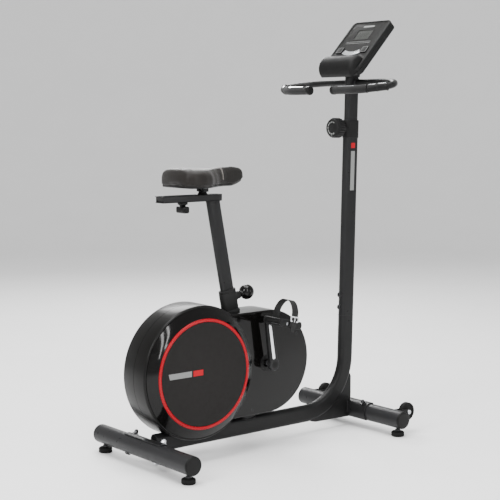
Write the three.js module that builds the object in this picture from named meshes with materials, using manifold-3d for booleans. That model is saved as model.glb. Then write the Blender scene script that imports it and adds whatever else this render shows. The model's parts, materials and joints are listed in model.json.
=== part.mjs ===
// Upright exercise bike with a magnetically braked flywheel, in millimetres, +Z up.
// +X points from the saddle to the handlebar, +Y to the rider's left. While the pieces are made,
// x = 0 is the axis of the rear stabiliser; the last lines move the origin under the middle.
import * as THREE from "three";
import { mergeVertices } from "three/addons/utils/BufferGeometryUtils.js";
import Module from "manifold-3d";

const wasm = await Module();
wasm.setup();

// ---------- driving dimensions ----------
const GAP = 0.3; // between pieces that touch
const PLAY = 0.5; // between pieces that slide or turn in each other
const DEG = Math.PI / 180;

// sides of round pieces
const LARGE = 32;
const MEDIUM = 16;
const SMALL = 8;

// stabilisers
const STABILISER_R = 30;
const STABILISER_WALL = 2;
const STABILISER_Z = 58;
const STABILISER_HALF = 250;
const CAP_THICKNESS = 7;
const CAP_SPIGOT = 14;
const BOLT_Y = 76; // stabiliser bolts, either side of the beam
const BOLT_R = 4;
const BOLT_LEAN = 27 * DEG; // the bolts lean towards the middle of the bike
const FOOT_Y = 228;
const FOOT_R = 22;
const FOOT_STEM_R = 5;

// wheelbase and frame tubes
const WHEELBASE = 887; // between the two stabiliser axes
const TUBE_LONG = 60; // flat-oval frame tube
const TUBE_WIDE = 30;
const TUBE_WALL = 2;
const BEAM_Z = 69.5;
const BEND_R = 185;
const SADDLE_PLATE = 4;
const SADDLE_PLATE_HALF = 98;

// front post and what it carries
const POST_LEAN = 1.42 * DEG; // forward
const POST_FOOT_X = WHEELBASE - 41; // where the post's axis meets the beam's
const SEAM_Z = 395; // top of the welded frame, where the upper post starts
const POST_TOP_Z = 1020;
const SPIGOT_UP = 80;
const STEM_LONG = 55;
const STEM_WIDE = 25;
const STEM_DOWN = 60;
const STEM_TOP_Z = POST_TOP_Z + 202;
const COLLAR_FROM_Z = POST_TOP_Z - 7;
const COLLAR_TO_Z = POST_TOP_Z + 55;
const COLLAR_WALL = 2;
const KNOB_Z = POST_TOP_Z + 26;
const KNOB_R = 34.5;
const KNOB_DEPTH = 33;
const KNOB_BOSS = 23; // how far the collar's boss stands back from the collar
const CABLE_R = 2.5;

// handlebar
const BAR_R = 11;
const BAR_WALL = 2;
const BAR_Z = STEM_TOP_Z - 19; // of the front stretch, at the stem
const BAR_AHEAD = 10; // front stretch ahead of the stem's axis
const BAR_DEPTH = 154; // front stretch to rear stretch
const BAR_HALF = 258; // centreline to the side
const BAR_TILT = 10.5 * DEG; // the loop rises to the front
const BAR_END = 56; // from the middle to each free end, on the rider's side
const GRIP_WALL = 3;
const GRIP_LENGTH = 150;
const SENSOR_LENGTH = 64;

// console
const CONSOLE_TILT = 46.4 * DEG;
const CONSOLE_LENGTH = 239;
const CONSOLE_WIDTH = 186;
const CONSOLE_DEPTH = 30;
const CONSOLE_X = POST_FOOT_X - 16; // lowest edge of the back
const CONSOLE_Z = STEM_TOP_Z + 2;
const CONSOLE_WALL = 3;
const LEDGE_R = 40;
const BUTTON = 28;
const BUTTON_TRAVEL = 1.5;

// drive
const DRUM_X = 174;
const DRUM_Z = 284;
const CRANK_X = 442;
const CRANK_Z = 284;
const CRANK_LENGTH = 150;
const CRANK_ANGLE = 98.5 * DEG; // right arm, from +X towards +Z
const CRANK_IN = 88; // inner face of the arms, from the middle
const CRANK_THICK = 14;
const AXLE_R = 8;
const BRACKET_R = 20; // bottom bracket shell
const BRACKET_FROM = -30;
const BRACKET_TO = 14;
const PULLEY_R = 90;
const PULLEY_Y = 24; // middle of the belt
const BELT_WIDE = 8;
const BELT_THICK = 3;
const FLYWHEEL_R = 140;
const FLYWHEEL_WIDE = 30;
const FLYWHEEL_PULLEY_R = 18;
const FLYWHEEL_AXLE_R = 6;
const FORK_IN = 34; // inner face of the flywheel fork
const PLATE = 3;
const MAGNET_GAP = 4;

// housing
const DRUM_R = 214;
const DRUM_HALF = 56;
const BEZEL_OUT = 80; // flat face of the drum's sides, from the middle
const BEZEL_R = 178;
const LOBE_X = 453;
const LOBE_Z = 287;
const LOBE_R = 170.5;
const LOBE_HALF = 60;
const SHELL_WALL = 2.5;
const RING_OUT_R = 176;
const RING_IN_R = 165.5;
const RING_THICK = 3;
const DISC_THICK = 2;

// pedals
const PEDAL_LONG = 92;
const PEDAL_BACK = 32; // rear of the tread to its spindle
const PEDAL_THICK = 26;
const PEDAL_WIDE = 86;
const PEDAL_GAP = 5; // crank arm to pedal
const PEDAL_TILT = 14 * DEG; // the toe hangs down
const SPINDLE_R = 6;
const STRAP_WIDE = 28;
const STRAP_HIGH = 78;
const STRAP_THICK = 3;

// seat
const SEAT_LEAN = 11 * DEG; // backward
const SEAT_TOP_X = 268; // seat post's axis where it meets the rail
const RAIL_Z = 821; // underside of the rail
const SEAT_TUBE_TOP_Z = 520;
const BUSHING_TOP_Z = 530;
const SEAT_POST_LONG = 50;
const SEAT_POST_WIDE = 20;
const SEAT_POST_WALL = 2;
const SEAT_POST_FOOT_Z = 384;
const PIN_Z = 501;
const PIN_BALL_R = 25;
const RAIL_FROM_X = 60;
const RAIL_TO_X = 300;
const RAIL_HIGH = 21;
const RAIL_WIDE = 44;
const RAIL_WALL = 2.5;
const RAIL_SLOT = 26;
const LOCK_X = 150; // saddle lock knob
const SADDLE_TRAVEL = 50;
const CLAMP_X = 228;
const SADDLE_Z = 866; // underside of the saddle's base
const SADDLE_BASE = 9;
const SADDLE_PAD = 52;
const SADDLE_REAR_X = 108;
const SADDLE_NOSE_X = 390;
const SADDLE_HALF = 100;
const EARS_OUT = 20; // outer faces of the base's two ears, from the middle

// transport wheels
const WHEEL_R = 32;
const WHEEL_WIDE = 18;
const WHEEL_Y = 206;
const WHEEL_AHEAD = 63;
const WHEEL_UP = 14;

// ---------- solids ----------
const X = new THREE.Vector3(1, 0, 0);
const Y = new THREE.Vector3(0, 1, 0);
const Z = new THREE.Vector3(0, 0, 1);

function v3(x, y, z) {
  return new THREE.Vector3(x, y, z);
}

// A geometry as a manifold-3d solid, with its faces turned out.
function solid(geometry) {
  const bare = geometry.index ? geometry.toNonIndexed() : geometry.clone();
  for (const name of Object.keys(bare.attributes)) {
    if (name !== "position") bare.deleteAttribute(name);
  }
  const merged = mergeVertices(bare, 1e-4);
  const vertProperties = new Float32Array(merged.attributes.position.array);
  const triVerts = new Uint32Array(merged.index.array);
  const made = new wasm.Manifold(new wasm.Mesh({ numProp: 3, vertProperties, triVerts }));
  if (made.volume() > 0) return made;
  for (let i = 0; i < triVerts.length; i += 3) {
    [triVerts[i], triVerts[i + 1]] = [triVerts[i + 1], triVerts[i]];
  }
  return new wasm.Manifold(new wasm.Mesh({ numProp: 3, vertProperties, triVerts }));
}

function geometryOf(made) {
  const { vertProperties, triVerts } = made.getMesh();
  const geometry = new THREE.BufferGeometry();
  geometry.setAttribute("position", new THREE.BufferAttribute(vertProperties, 3));
  geometry.setIndex(new THREE.BufferAttribute(triVerts, 1));
  const flat = geometry.toNonIndexed();
  flat.computeVertexNormals();
  return flat;
}

function join(...parts) {
  return parts.reduce((whole, part) => whole.add(part));
}

function cut(body, ...tools) {
  return tools.reduce((left, tool) => left.subtract(tool), body);
}

// A box between two opposite corners.
function box(x0, x1, y0, y1, z0, z1) {
  const geometry = new THREE.BoxGeometry(x1 - x0, y1 - y0, z1 - z0);
  geometry.translate((x0 + x1) / 2, (y0 + y1) / 2, (z0 + z1) / 2);
  return solid(geometry);
}

// Turns a geometry made along +Y so that it runs along a direction from a point.
function aim(geometry, from, along) {
  const turn = new THREE.Quaternion().setFromUnitVectors(Y, along.clone().normalize());
  geometry.applyQuaternion(turn);
  geometry.translate(from.x, from.y, from.z);
  return geometry;
}

// A round bar between two points.
function rod(radius, from, to, sides = SMALL) {
  const along = to.clone().sub(from);
  const geometry = new THREE.CylinderGeometry(radius, radius, along.length(), sides);
  geometry.translate(0, along.length() / 2, 0);
  return solid(aim(geometry, from, along));
}

// A round hole between two points: its flats clear the radius.
function bore(radius, from, to, sides = SMALL) {
  return rod(radius / Math.cos(Math.PI / sides), from, to, sides);
}

// A turned piece: the profile's points are [radius, distance along the axis].
function turned(profile, from, along, sides = MEDIUM) {
  const points = profile.map(([r, h]) => new THREE.Vector2(r, h));
  return solid(aim(new THREE.LatheGeometry(points, sides), from, along));
}

// A flat-oval outline, longer along x.
function oval(long, wide, arcSteps = 4) {
  const shape = new THREE.Shape();
  const half = (long - wide) / 2;
  for (let i = 0; i <= 2 * arcSteps + 1; i++) {
    const right = i <= arcSteps;
    const angle = -Math.PI / 2 + ((i - (right ? 0 : 1)) * Math.PI) / arcSteps;
    const x = (right ? half : -half) + (wide / 2) * Math.cos(angle);
    const y = (wide / 2) * Math.sin(angle);
    if (i === 0) shape.moveTo(x, y);
    else shape.lineTo(x, y);
  }
  shape.closePath();
  return shape;
}

// The outline around two circles, as a belt runs around two pulleys.
function loopOutline(ax, az, ar, bx, bz, br, steps = 12) {
  const reach = Math.hypot(bx - ax, bz - az);
  const heading = Math.atan2(bz - az, bx - ax);
  const spread = Math.acos((ar - br) / reach);
  const shape = new THREE.Shape();
  for (let i = 0; i <= steps; i++) {
    const angle = heading - spread + (2 * spread * i) / steps;
    const x = bx + br * Math.cos(angle);
    const z = bz + br * Math.sin(angle);
    if (i === 0) shape.moveTo(x, z);
    else shape.lineTo(x, z);
  }
  for (let i = 0; i <= steps; i++) {
    const angle = heading + spread + ((2 * Math.PI - 2 * spread) * i) / steps;
    shape.lineTo(ax + ar * Math.cos(angle), az + ar * Math.sin(angle));
  }
  shape.closePath();
  return shape;
}

function polygon(points) {
  return new THREE.Shape(points.map(([x, y]) => new THREE.Vector2(x, y)));
}

// A rounded rectangle around the middle.
function roundRect(long, wide, corner, steps = 3) {
  const points = [];
  const turns = [[1, -1, -90], [1, 1, 0], [-1, 1, 90], [-1, -1, 180]];
  for (const [sx, sy, start] of turns) {
    for (let i = 0; i <= steps; i++) {
      const angle = (start + (90 * i) / steps) * DEG;
      const x = sx * (long / 2 - corner) + corner * Math.cos(angle);
      points.push([x, sy * (wide / 2 - corner) + corner * Math.sin(angle)]);
    }
  }
  return polygon(points);
}

// An outline drawn in x and z, pulled along y.
function alongY(shape, y0, y1) {
  const geometry = new THREE.ExtrudeGeometry(shape, { depth: y1 - y0, bevelEnabled: false });
  geometry.applyMatrix4(new THREE.Matrix4().makeBasis(X, Z, Y.clone().negate()));
  geometry.translate(0, y1, 0);
  return solid(geometry);
}

// An outline drawn in y and z, pulled along x.
function alongX(shape, x0, x1) {
  const geometry = new THREE.ExtrudeGeometry(shape, { depth: x1 - x0, bevelEnabled: false });
  geometry.applyMatrix4(new THREE.Matrix4().makeBasis(Y, Z, X));
  geometry.translate(x0, 0, 0);
  return solid(geometry);
}

// An outline drawn in x and y, pulled along z.
function alongZ(shape, z0, z1) {
  const geometry = new THREE.ExtrudeGeometry(shape, { depth: z1 - z0, bevelEnabled: false });
  geometry.translate(0, 0, z0);
  return solid(geometry);
}

// A route through stations that each hold a point and a direction.
class Route extends THREE.Curve {
  constructor(stations) {
    super();
    this.stations = stations;
  }
  station(u) {
    return this.stations[Math.round(u * (this.stations.length - 1))];
  }
  getPoint(t, target = new THREE.Vector3()) {
    return target.copy(this.station(t).point);
  }
  getPointAt(u, target = new THREE.Vector3()) {
    return target.copy(this.station(u).point);
  }
  getTangentAt(u, target = new THREE.Vector3()) {
    return target.copy(this.station(u).along);
  }
}

// Straight stretches between corners, each corner rounded to its own radius.
function filletedRoute(corners, arcSteps = 5) {
  const stations = [];
  const last = corners.length - 1;
  for (let i = 0; i <= last; i++) {
    const here = corners[i].at;
    const before = i ? here.clone().sub(corners[i - 1].at).normalize() : null;
    const after = i < last ? corners[i + 1].at.clone().sub(here).normalize() : null;
    if (!before || !after) {
      stations.push({ point: here.clone(), along: (before || after).clone() });
      continue;
    }
    const bend = before.angleTo(after);
    const reach = corners[i].radius * Math.tan(bend / 2);
    const axis = before.clone().cross(after).normalize();
    const start = here.clone().addScaledVector(before, -reach);
    const inward = axis.clone().cross(before);
    const centre = start.clone().addScaledVector(inward, corners[i].radius);
    for (let k = 0; k <= arcSteps; k++) {
      const angle = (bend * k) / arcSteps;
      const arm = start.clone().sub(centre).applyAxisAngle(axis, angle);
      const along = before.clone().applyAxisAngle(axis, angle);
      stations.push({ point: centre.clone().add(arm), along });
    }
  }
  return new Route(stations);
}

function swept(shape, route) {
  const settings = { steps: route.stations.length - 1, extrudePath: route, bevelEnabled: false };
  return solid(new THREE.ExtrudeGeometry(shape, settings));
}

function disc(radius, sides = 10) {
  const points = [];
  for (let i = 0; i < sides; i++) {
    const angle = (2 * Math.PI * i) / sides;
    points.push([radius * Math.cos(angle), radius * Math.sin(angle)]);
  }
  return polygon(points);
}

// ---------- places that several pieces share ----------
// The post's axis leans forward from the point where it crosses the beam's axis.
function postX(z) {
  return POST_FOOT_X + (z - BEAM_Z) * Math.tan(POST_LEAN);
}

// A place on the leaning post: ahead of its axis, to the left, and at a height on the axis.
function onPost(ahead, left, z) {
  const axis = v3(postX(z), left, z);
  return axis.add(v3(Math.cos(POST_LEAN), 0, -Math.sin(POST_LEAN)).multiplyScalar(ahead));
}

function seatX(z) {
  return SEAT_TOP_X + (RAIL_Z - z) * Math.tan(SEAT_LEAN);
}

// A flat-oval bar that follows a leaning axis between two heights.
function leaningBar(long, wide, xAt, lean, z0, z1) {
  const geometry = new THREE.ExtrudeGeometry(oval(long, wide), {
    depth: (z1 - z0) / Math.cos(lean),
    bevelEnabled: false,
  });
  geometry.rotateY(lean);
  geometry.translate(xAt(z0), 0, z0);
  return solid(geometry);
}

function postBar(long, wide, z0, z1) {
  return leaningBar(long, wide, postX, POST_LEAN, z0, z1);
}

function seatBar(long, wide, z0, z1) {
  return leaningBar(long, wide, seatX, -SEAT_LEAN, z0, z1);
}

const BORE_LONG = TUBE_LONG - 2 * TUBE_WALL;
const BORE_WIDE = TUBE_WIDE - 2 * TUBE_WALL;
const BEAM_TOP = BEAM_Z + TUBE_LONG / 2;
const BEAM_START = STABILISER_R + SADDLE_PLATE + GAP - 1;
const PEDAL_X = CRANK_X + CRANK_LENGTH * Math.cos(CRANK_ANGLE);
const PEDAL_Z = CRANK_Z + CRANK_LENGTH * Math.sin(CRANK_ANGLE);
const PEDAL_FROM = CRANK_IN + CRANK_THICK + PEDAL_GAP;
const WHEEL_X = WHEELBASE + WHEEL_AHEAD;
const WHEEL_Z = STABILISER_Z + WHEEL_UP;

// A place on a stabiliser bolt's axis, at a distance from the tube's axis.
function onBolt(x, side, out) {
  const lean = x ? -BOLT_LEAN : BOLT_LEAN;
  return v3(x + out * Math.sin(lean), side * BOLT_Y, STABILISER_Z + out * Math.cos(lean));
}

function boltHole(x, side, from, to) {
  return bore(BOLT_R + GAP, onBolt(x, side, from), onBolt(x, side, to));
}

// ---------- stabilisers ----------
function stabiliser(x) {
  const across = (r, half) => rod(r, v3(x, -half, STABILISER_Z), v3(x, half, STABILISER_Z), MEDIUM);
  let tube = across(STABILISER_R, STABILISER_HALF);
  for (const side of [-1, 1]) {
    const foot = (z) => v3(x, side * FOOT_Y, z);
    tube = join(tube, rod(FOOT_STEM_R + 5, foot(STABILISER_Z - STABILISER_R - 3), foot(STABILISER_Z)));
  }
  if (x) tube = join(tube, wheelCheeks());
  tube = cut(tube, across(STABILISER_R - STABILISER_WALL, STABILISER_HALF + 1));
  for (const side of [-1, 1]) {
    const foot = (z) => v3(x, side * FOOT_Y, z);
    const through = 2 * STABILISER_R;
    tube = cut(
      tube,
      bore(FOOT_STEM_R + PLAY, foot(0), foot(STABILISER_Z)),
      boltHole(x, side, -through, through),
    );
  }
  return tube;
}

// Two pairs of cheeks ahead of the front tube, each pair with the pin that a wheel turns on.
function wheelCheeks() {
  const out = WHEEL_WIDE / 2 + 1.5;
  const outline = loopOutline(WHEELBASE, STABILISER_Z, STABILISER_R - 4, WHEEL_X, WHEEL_Z, 11, 6);
  const parts = [];
  for (const side of [-1, 1]) {
    const middle = side * WHEEL_Y;
    parts.push(alongY(outline, middle - out - PLATE, middle - out));
    parts.push(alongY(outline, middle + out, middle + out + PLATE));
    const pin = (y) => v3(WHEEL_X, middle + y, WHEEL_Z);
    parts.push(rod(5, pin(-out - PLATE - 3), pin(out + PLATE + 3)));
  }
  return join(...parts);
}

function transportWheel(side) {
  const half = WHEEL_WIDE / 2;
  const hub = 5 + PLAY;
  const profile = [
    [hub, -half],
    [WHEEL_R - 3, -half],
    [WHEEL_R, -half + 3],
    [WHEEL_R, half - 3],
    [WHEEL_R - 3, half],
    [hub, half],
    [hub, -half],
  ];
  return turned(profile, v3(WHEEL_X, side * WHEEL_Y, WHEEL_Z), Y);
}

function endCap(x, side) {
  const profile = [
    [0, -CAP_SPIGOT],
    [STABILISER_R - STABILISER_WALL - GAP, -CAP_SPIGOT],
    [STABILISER_R - STABILISER_WALL - GAP, GAP],
    [STABILISER_R, GAP],
    [STABILISER_R, CAP_THICKNESS - 4],
    [STABILISER_R - 4, CAP_THICKNESS],
    [0, CAP_THICKNESS],
  ];
  const mouth = v3(x, side * STABILISER_HALF, STABILISER_Z);
  return turned(profile, mouth, Y.clone().multiplyScalar(side));
}

function levellingFoot(x, side) {
  const profile = [
    [0, 0],
    [FOOT_R - 3, 0],
    [FOOT_R, 3],
    [FOOT_R, 14],
    [FOOT_R - 4, 18],
    [FOOT_STEM_R, 18],
    [FOOT_STEM_R, STABILISER_Z - 14],
    [0, STABILISER_Z - 14],
  ];
  return turned(profile, v3(x, side * FOOT_Y, 0), Z);
}

// A carriage bolt up through tube and saddle plate, with its washer and cap nut.
function stabiliserBolt(x, side) {
  const under = -STABILISER_R - GAP;
  const over = STABILISER_R + SADDLE_PLATE + 3 * GAP;
  const profile = [
    [0, under - 5],
    [5, under - 5],
    [10, under - 1.5],
    [10, under],
    [BOLT_R, under],
    [BOLT_R, over],
    [10, over],
    [10, over + 2],
    [7, over + 2],
    [7, over + 9],
    [0, over + 14],
  ];
  return turned(profile, onBolt(x, side, 0), onBolt(x, side, 1).sub(onBolt(x, side, 0)), 8);
}

// ---------- welded frame ----------
// A curved plate that lies on a stabiliser between two angles, from +X towards +Z.
function saddlePlate(x, fromAngle, toAngle) {
  const steps = 9;
  const outer = STABILISER_R + GAP + SADDLE_PLATE;
  const inner = (STABILISER_R + GAP) / Math.cos((toAngle - fromAngle) / steps / 2);
  const points = [];
  for (let i = 0; i <= steps; i++) {
    const angle = fromAngle + ((toAngle - fromAngle) * i) / steps;
    points.push([x + outer * Math.cos(angle), STABILISER_Z + outer * Math.sin(angle)]);
  }
  for (let i = steps; i >= 0; i--) {
    const angle = fromAngle + ((toAngle - fromAngle) * i) / steps;
    points.push([x + inner * Math.cos(angle), STABILISER_Z + inner * Math.sin(angle)]);
  }
  let plate = alongY(polygon(points), -SADDLE_PLATE_HALF, SADDLE_PLATE_HALF);
  for (const side of [-1, 1]) {
    plate = cut(plate, boltHole(x, side, 0, 2 * STABILISER_R));
  }
  return plate;
}

// From the rear stabiliser along the beam, round the bend and up to the seam; a bore runs past it.
function backboneRoute(past) {
  const top = SEAM_Z + past;
  const corners = [
    { at: v3(BEAM_START - past, 0, BEAM_Z) },
    { at: v3(POST_FOOT_X, 0, BEAM_Z), radius: BEND_R },
    { at: v3(postX(top), 0, top) },
  ];
  return filletedRoute(corners, 9);
}

// The hollow gusset that fills the corner between the bend and the front stabiliser.
function gusset(shrink) {
  const reach = BEND_R * Math.tan((Math.PI / 2 - POST_LEAN) / 2);
  const back = POST_FOOT_X - reach + 10;
  const tip = WHEELBASE - 16;
  const low = BEAM_Z - TUBE_LONG / 2 - 8;
  const shape = polygon([
    [back + 4 * shrink, BEAM_Z],
    [back + 2 * shrink, low + 8 + shrink],
    [back + 30, low + 3 + shrink],
    [tip - shrink, low + shrink],
    [tip - shrink, BEAM_TOP],
    [POST_FOOT_X + 26 - shrink, BEAM_TOP + 12],
    [POST_FOOT_X + 26 - shrink, BEAM_TOP + 90 - 3 * shrink],
    [POST_FOOT_X, BEAM_TOP + 90 - 3 * shrink],
  ]);
  const half = TUBE_WIDE / 2 - 2 - shrink;
  const tube = (y) => v3(WHEELBASE, y, STABILISER_Z);
  const clear = STABILISER_R + GAP + shrink;
  return cut(alongY(shape, -half, half), bore(clear, tube(-half - 1), tube(half + 1), LARGE));
}

function bottomBracket() {
  const middle = (y) => v3(CRANK_X, y, CRANK_Z);
  const half = TUBE_WIDE / 2 - 3;
  const web = box(seatX(CRANK_Z) + 8, CRANK_X, -half, half, CRANK_Z - 18, CRANK_Z + 18);
  return join(web, rod(BRACKET_R, middle(BRACKET_FROM), middle(BRACKET_TO), MEDIUM));
}

// The fork that stands on the beam and holds the flywheel's axle.
function flywheelFork() {
  const out = FORK_IN + PLATE;
  const base = box(DRUM_X - 26, DRUM_X + 26, -out, out, BEAM_TOP - 1, BEAM_TOP + PLATE);
  const outline = polygon([
    [DRUM_X - 26, BEAM_TOP],
    [DRUM_X + 26, BEAM_TOP],
    [DRUM_X + 17, DRUM_Z + 14],
    [DRUM_X + 8, DRUM_Z + 22],
    [DRUM_X - 8, DRUM_Z + 22],
    [DRUM_X - 17, DRUM_Z + 14],
  ]);
  let fork = base;
  for (const side of [-1, 1]) {
    const inner = side * FORK_IN;
    const outer = side * (FORK_IN + PLATE);
    fork = join(fork, alongY(outline, Math.min(inner, outer), Math.max(inner, outer)));
  }
  const reach = FORK_IN + 2 * PLATE;
  return cut(fork, bore(FLYWHEEL_AXLE_R + GAP, v3(DRUM_X, -reach, DRUM_Z), v3(DRUM_X, reach, DRUM_Z)));
}

// The magnet bracket swings on a stud below the flywheel's rim.
const PIVOT_ANGLE = -75 * DEG;
const PIVOT_REACH = FLYWHEEL_R + MAGNET_GAP + 14;
const PIVOT_X = DRUM_X + PIVOT_REACH * Math.cos(PIVOT_ANGLE);
const PIVOT_Z = DRUM_Z + PIVOT_REACH * Math.sin(PIVOT_ANGLE);

// Two ears on the beam with the stud that the magnet bracket swings on.
function pivotStud() {
  const stud = rod(4, v3(PIVOT_X, -22, PIVOT_Z), v3(PIVOT_X, 22, PIVOT_Z));
  const ears = [-1, 1].map((side) => {
    const y0 = side * 18.5 - 1.5;
    return box(PIVOT_X - 8, PIVOT_X + 8, y0, y0 + 3, BEAM_TOP - 1, PIVOT_Z + 8);
  });
  const foot = box(PIVOT_X - 8, PIVOT_X + 8, -20, 20, BEAM_TOP - 1, BEAM_TOP + PLATE);
  return join(stud, foot, ...ears);
}

function mainFrame() {
  const outside = swept(oval(TUBE_LONG, TUBE_WIDE), backboneRoute(0));
  const hollow = swept(oval(BORE_LONG, BORE_WIDE), backboneRoute(5));
  const seatFoot = BEAM_TOP - 4;
  let frame = join(
    outside,
    gusset(0),
    saddlePlate(0, -50 * DEG, 112 * DEG),
    saddlePlate(WHEELBASE, 68 * DEG, 232 * DEG),
    seatBar(TUBE_LONG, TUBE_WIDE, seatFoot, SEAT_TUBE_TOP_Z),
    bottomBracket(),
    flywheelFork(),
    pivotStud(),
  );
  // The bores: the frame is open at the beam's rear end and at the tops of both tubes.
  frame = cut(
    frame,
    cut(gusset(3), outside),
    bore(4, v3(WHEELBASE - 90, 0, 0), v3(WHEELBASE - 90, 0, STABILISER_Z - 10)),
    hollow,
    seatBar(BORE_LONG, BORE_WIDE, BEAM_TOP, SEAT_TUBE_TOP_Z + 5),
    bore(7, v3(seatX(BEAM_TOP), 0, BEAM_Z), v3(seatX(BEAM_TOP), 0, BEAM_TOP + 10)),
    bore(BRACKET_R - 4, v3(CRANK_X, BRACKET_FROM - 1, CRANK_Z), v3(CRANK_X, BRACKET_TO + 1, CRANK_Z), MEDIUM),
  );
  // The cable leaves the seat tube by its rear wall; the pin enters it by its front wall.
  const exit = cableCorners();
  frame = cut(frame, bore(6, exit[exit.length - 2].at, exit[exit.length - 1].at));
  frame = cut(frame, pinHole(6 + GAP));
  // The welded-in spigot that the upper post slides over, with its two bolt holes.
  const spigotLong = BORE_LONG - 2 * GAP;
  const spigotWide = BORE_WIDE - 2 * GAP;
  const spigot = cut(
    join(
      postBar(BORE_LONG + 1, BORE_WIDE + 1, SEAM_Z - 50, SEAM_Z - 1),
      postBar(spigotLong, spigotWide, SEAM_Z - 10, SEAM_Z + SPIGOT_UP),
    ),
    postBar(spigotLong - 5, spigotWide - 5, SEAM_Z - 60, SEAM_Z + SPIGOT_UP + 10),
    ...postBoltHoles(),
  );
  return join(frame, spigot);
}

// ---------- front post ----------
const POST_BOLT_Z = [424, 467]; // both below the spigot's top

function postBoltHoles() {
  return POST_BOLT_Z.map((z) => bore(BOLT_R + GAP, onPost(-TUBE_LONG, 0, z), onPost(0, 0, z)));
}

function upperPost() {
  return cut(
    postBar(TUBE_LONG, TUBE_WIDE, SEAM_Z + GAP, POST_TOP_Z),
    postBar(BORE_LONG, BORE_WIDE, SEAM_Z - 5, POST_TOP_Z + 5),
    ...postBoltHoles(),
  );
}

// Two screws on one curved washer strip, on the rear edge of the post.
function postBolts() {
  const edge = TUBE_LONG / 2 + GAP;
  const strip = cut(
    postBar(TUBE_LONG + 2 * GAP + 4, TUBE_WIDE + 2 * GAP + 4, POST_BOLT_Z[0] - 11, POST_BOLT_Z[1] + 11),
    postBar(TUBE_LONG + 2 * GAP, TUBE_WIDE + 2 * GAP, POST_BOLT_Z[0] - 30, POST_BOLT_Z[1] + 30),
    box(postX(SEAM_Z) - 24, postX(SEAM_Z) + 60, -60, 60, SEAM_Z - 50, POST_TOP_Z),
  );
  const screws = POST_BOLT_Z.map((z) => {
    const along = onPost(0, 0, z).sub(onPost(1, 0, z));
    const profile = [
      [0, edge - 14],
      [BOLT_R, edge - 14],
      [BOLT_R, edge + 1],
      [7, edge + 1],
      [7, edge + 6],
      [0, edge + 6],
    ];
    return turned(profile, onPost(0, 0, z), along, 8);
  });
  return join(strip, ...screws);
}

function stemTube() {
  const barHole = bore(BAR_R + GAP, v3(BAR_FRONT_X, -60, BAR_Z), v3(BAR_FRONT_X, 60, BAR_Z), MEDIUM);
  const cableHole = bore(CABLE_R + 2, onPost(-STEM_LONG, 0, KNOB_Z), onPost(0, 0, KNOB_Z));
  const wall = 2 * TUBE_WALL;
  return cut(
    postBar(STEM_LONG, STEM_WIDE, POST_TOP_Z - STEM_DOWN, STEM_TOP_Z),
    postBar(STEM_LONG - wall, STEM_WIDE - wall, POST_TOP_Z - STEM_DOWN - 5, STEM_TOP_Z + 5),
    barHole,
    cableHole,
  );
}

// ---------- resistance control ----------
const COLLAR_LONG = TUBE_LONG + 2 * COLLAR_WALL;
const BOSS_END = -COLLAR_LONG / 2 - KNOB_BOSS; // ahead of the post's axis

function tensionCollar() {
  const shell = postBar(COLLAR_LONG, TUBE_WIDE + 2 * COLLAR_WALL, COLLAR_FROM_Z, COLLAR_TO_Z);
  const back = onPost(-1, 0, KNOB_Z).sub(onPost(0, 0, KNOB_Z));
  const start = COLLAR_LONG / 2 - 12;
  const end = COLLAR_LONG / 2 + KNOB_BOSS;
  const boss = turned(
    [
      [0, start],
      [15, start],
      [15, end - 14],
      [24, end - 8],
      [24, end],
      [0, end],
    ],
    onPost(0, 0, KNOB_Z),
    back,
  );
  return cut(
    join(shell, boss),
    postBar(TUBE_LONG + 2 * GAP, TUBE_WIDE + 2 * GAP, COLLAR_FROM_Z - 5, POST_TOP_Z + GAP),
    postBar(STEM_LONG + 2 * GAP, STEM_WIDE + 2 * GAP, COLLAR_FROM_Z - 5, COLLAR_TO_Z + 5),
    bore(CABLE_R + 2, onPost(0, 0, KNOB_Z), onPost(BOSS_END + 18, 0, KNOB_Z)),
    bore(6 + PLAY, onPost(BOSS_END + 19, 0, KNOB_Z), onPost(BOSS_END - 1, 0, KNOB_Z)),
  );
}

// The ridged dial, with its shaft in the boss.
function tensionKnob() {
  const ribs = 20;
  const points = [];
  for (let i = 0; i < 2 * ribs; i++) {
    const radius = KNOB_R - (i % 2 ? 1.6 : 0);
    const angle = (Math.PI * i) / ribs;
    points.push([radius * Math.cos(angle), radius * Math.sin(angle)]);
  }
  const grip = new THREE.ExtrudeGeometry(polygon(points), { depth: KNOB_DEPTH - 6, bevelEnabled: false });
  const along = onPost(-1, 0, KNOB_Z).sub(onPost(0, 0, KNOB_Z)).normalize();
  grip.rotateX(-Math.PI / 2);
  const start = onPost(BOSS_END - PLAY, 0, KNOB_Z);
  const face = [
    [0, KNOB_DEPTH - 7],
    [KNOB_R - 2.5, KNOB_DEPTH - 7],
    [KNOB_R - 2.5, KNOB_DEPTH - 4],
    [KNOB_R - 8, KNOB_DEPTH],
    [0, KNOB_DEPTH],
  ];
  const shaft = rod(6, onPost(BOSS_END + 16, 0, KNOB_Z), onPost(BOSS_END - 5, 0, KNOB_Z));
  return join(solid(aim(grip, start, along)), turned(face, start, along), shaft);
}

// From the knob down the post, round the bend, along the beam and up the seat tube.
function cableCorners() {
  const turnX = seatX(BEAM_TOP);
  const outZ = 200;
  return [
    { at: onPost(BOSS_END + 17, 0, KNOB_Z) },
    { at: onPost(0, 0, KNOB_Z), radius: 22 },
    { at: v3(POST_FOOT_X, 0, BEAM_Z), radius: BEND_R },
    { at: v3(turnX, 0, BEAM_Z), radius: 20 },
    { at: v3(seatX(outZ), 0, outZ), radius: 20 },
    { at: v3(DRUM_X + FLYWHEEL_R + 20, 0, outZ + 10) },
  ];
}

function tensionCable() {
  return swept(disc(CABLE_R, 6), filletedRoute(cableCorners(), 6));
}

// ---------- handlebar ----------
const BAR_FRONT_X = postX(BAR_Z) + BAR_AHEAD;

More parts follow.
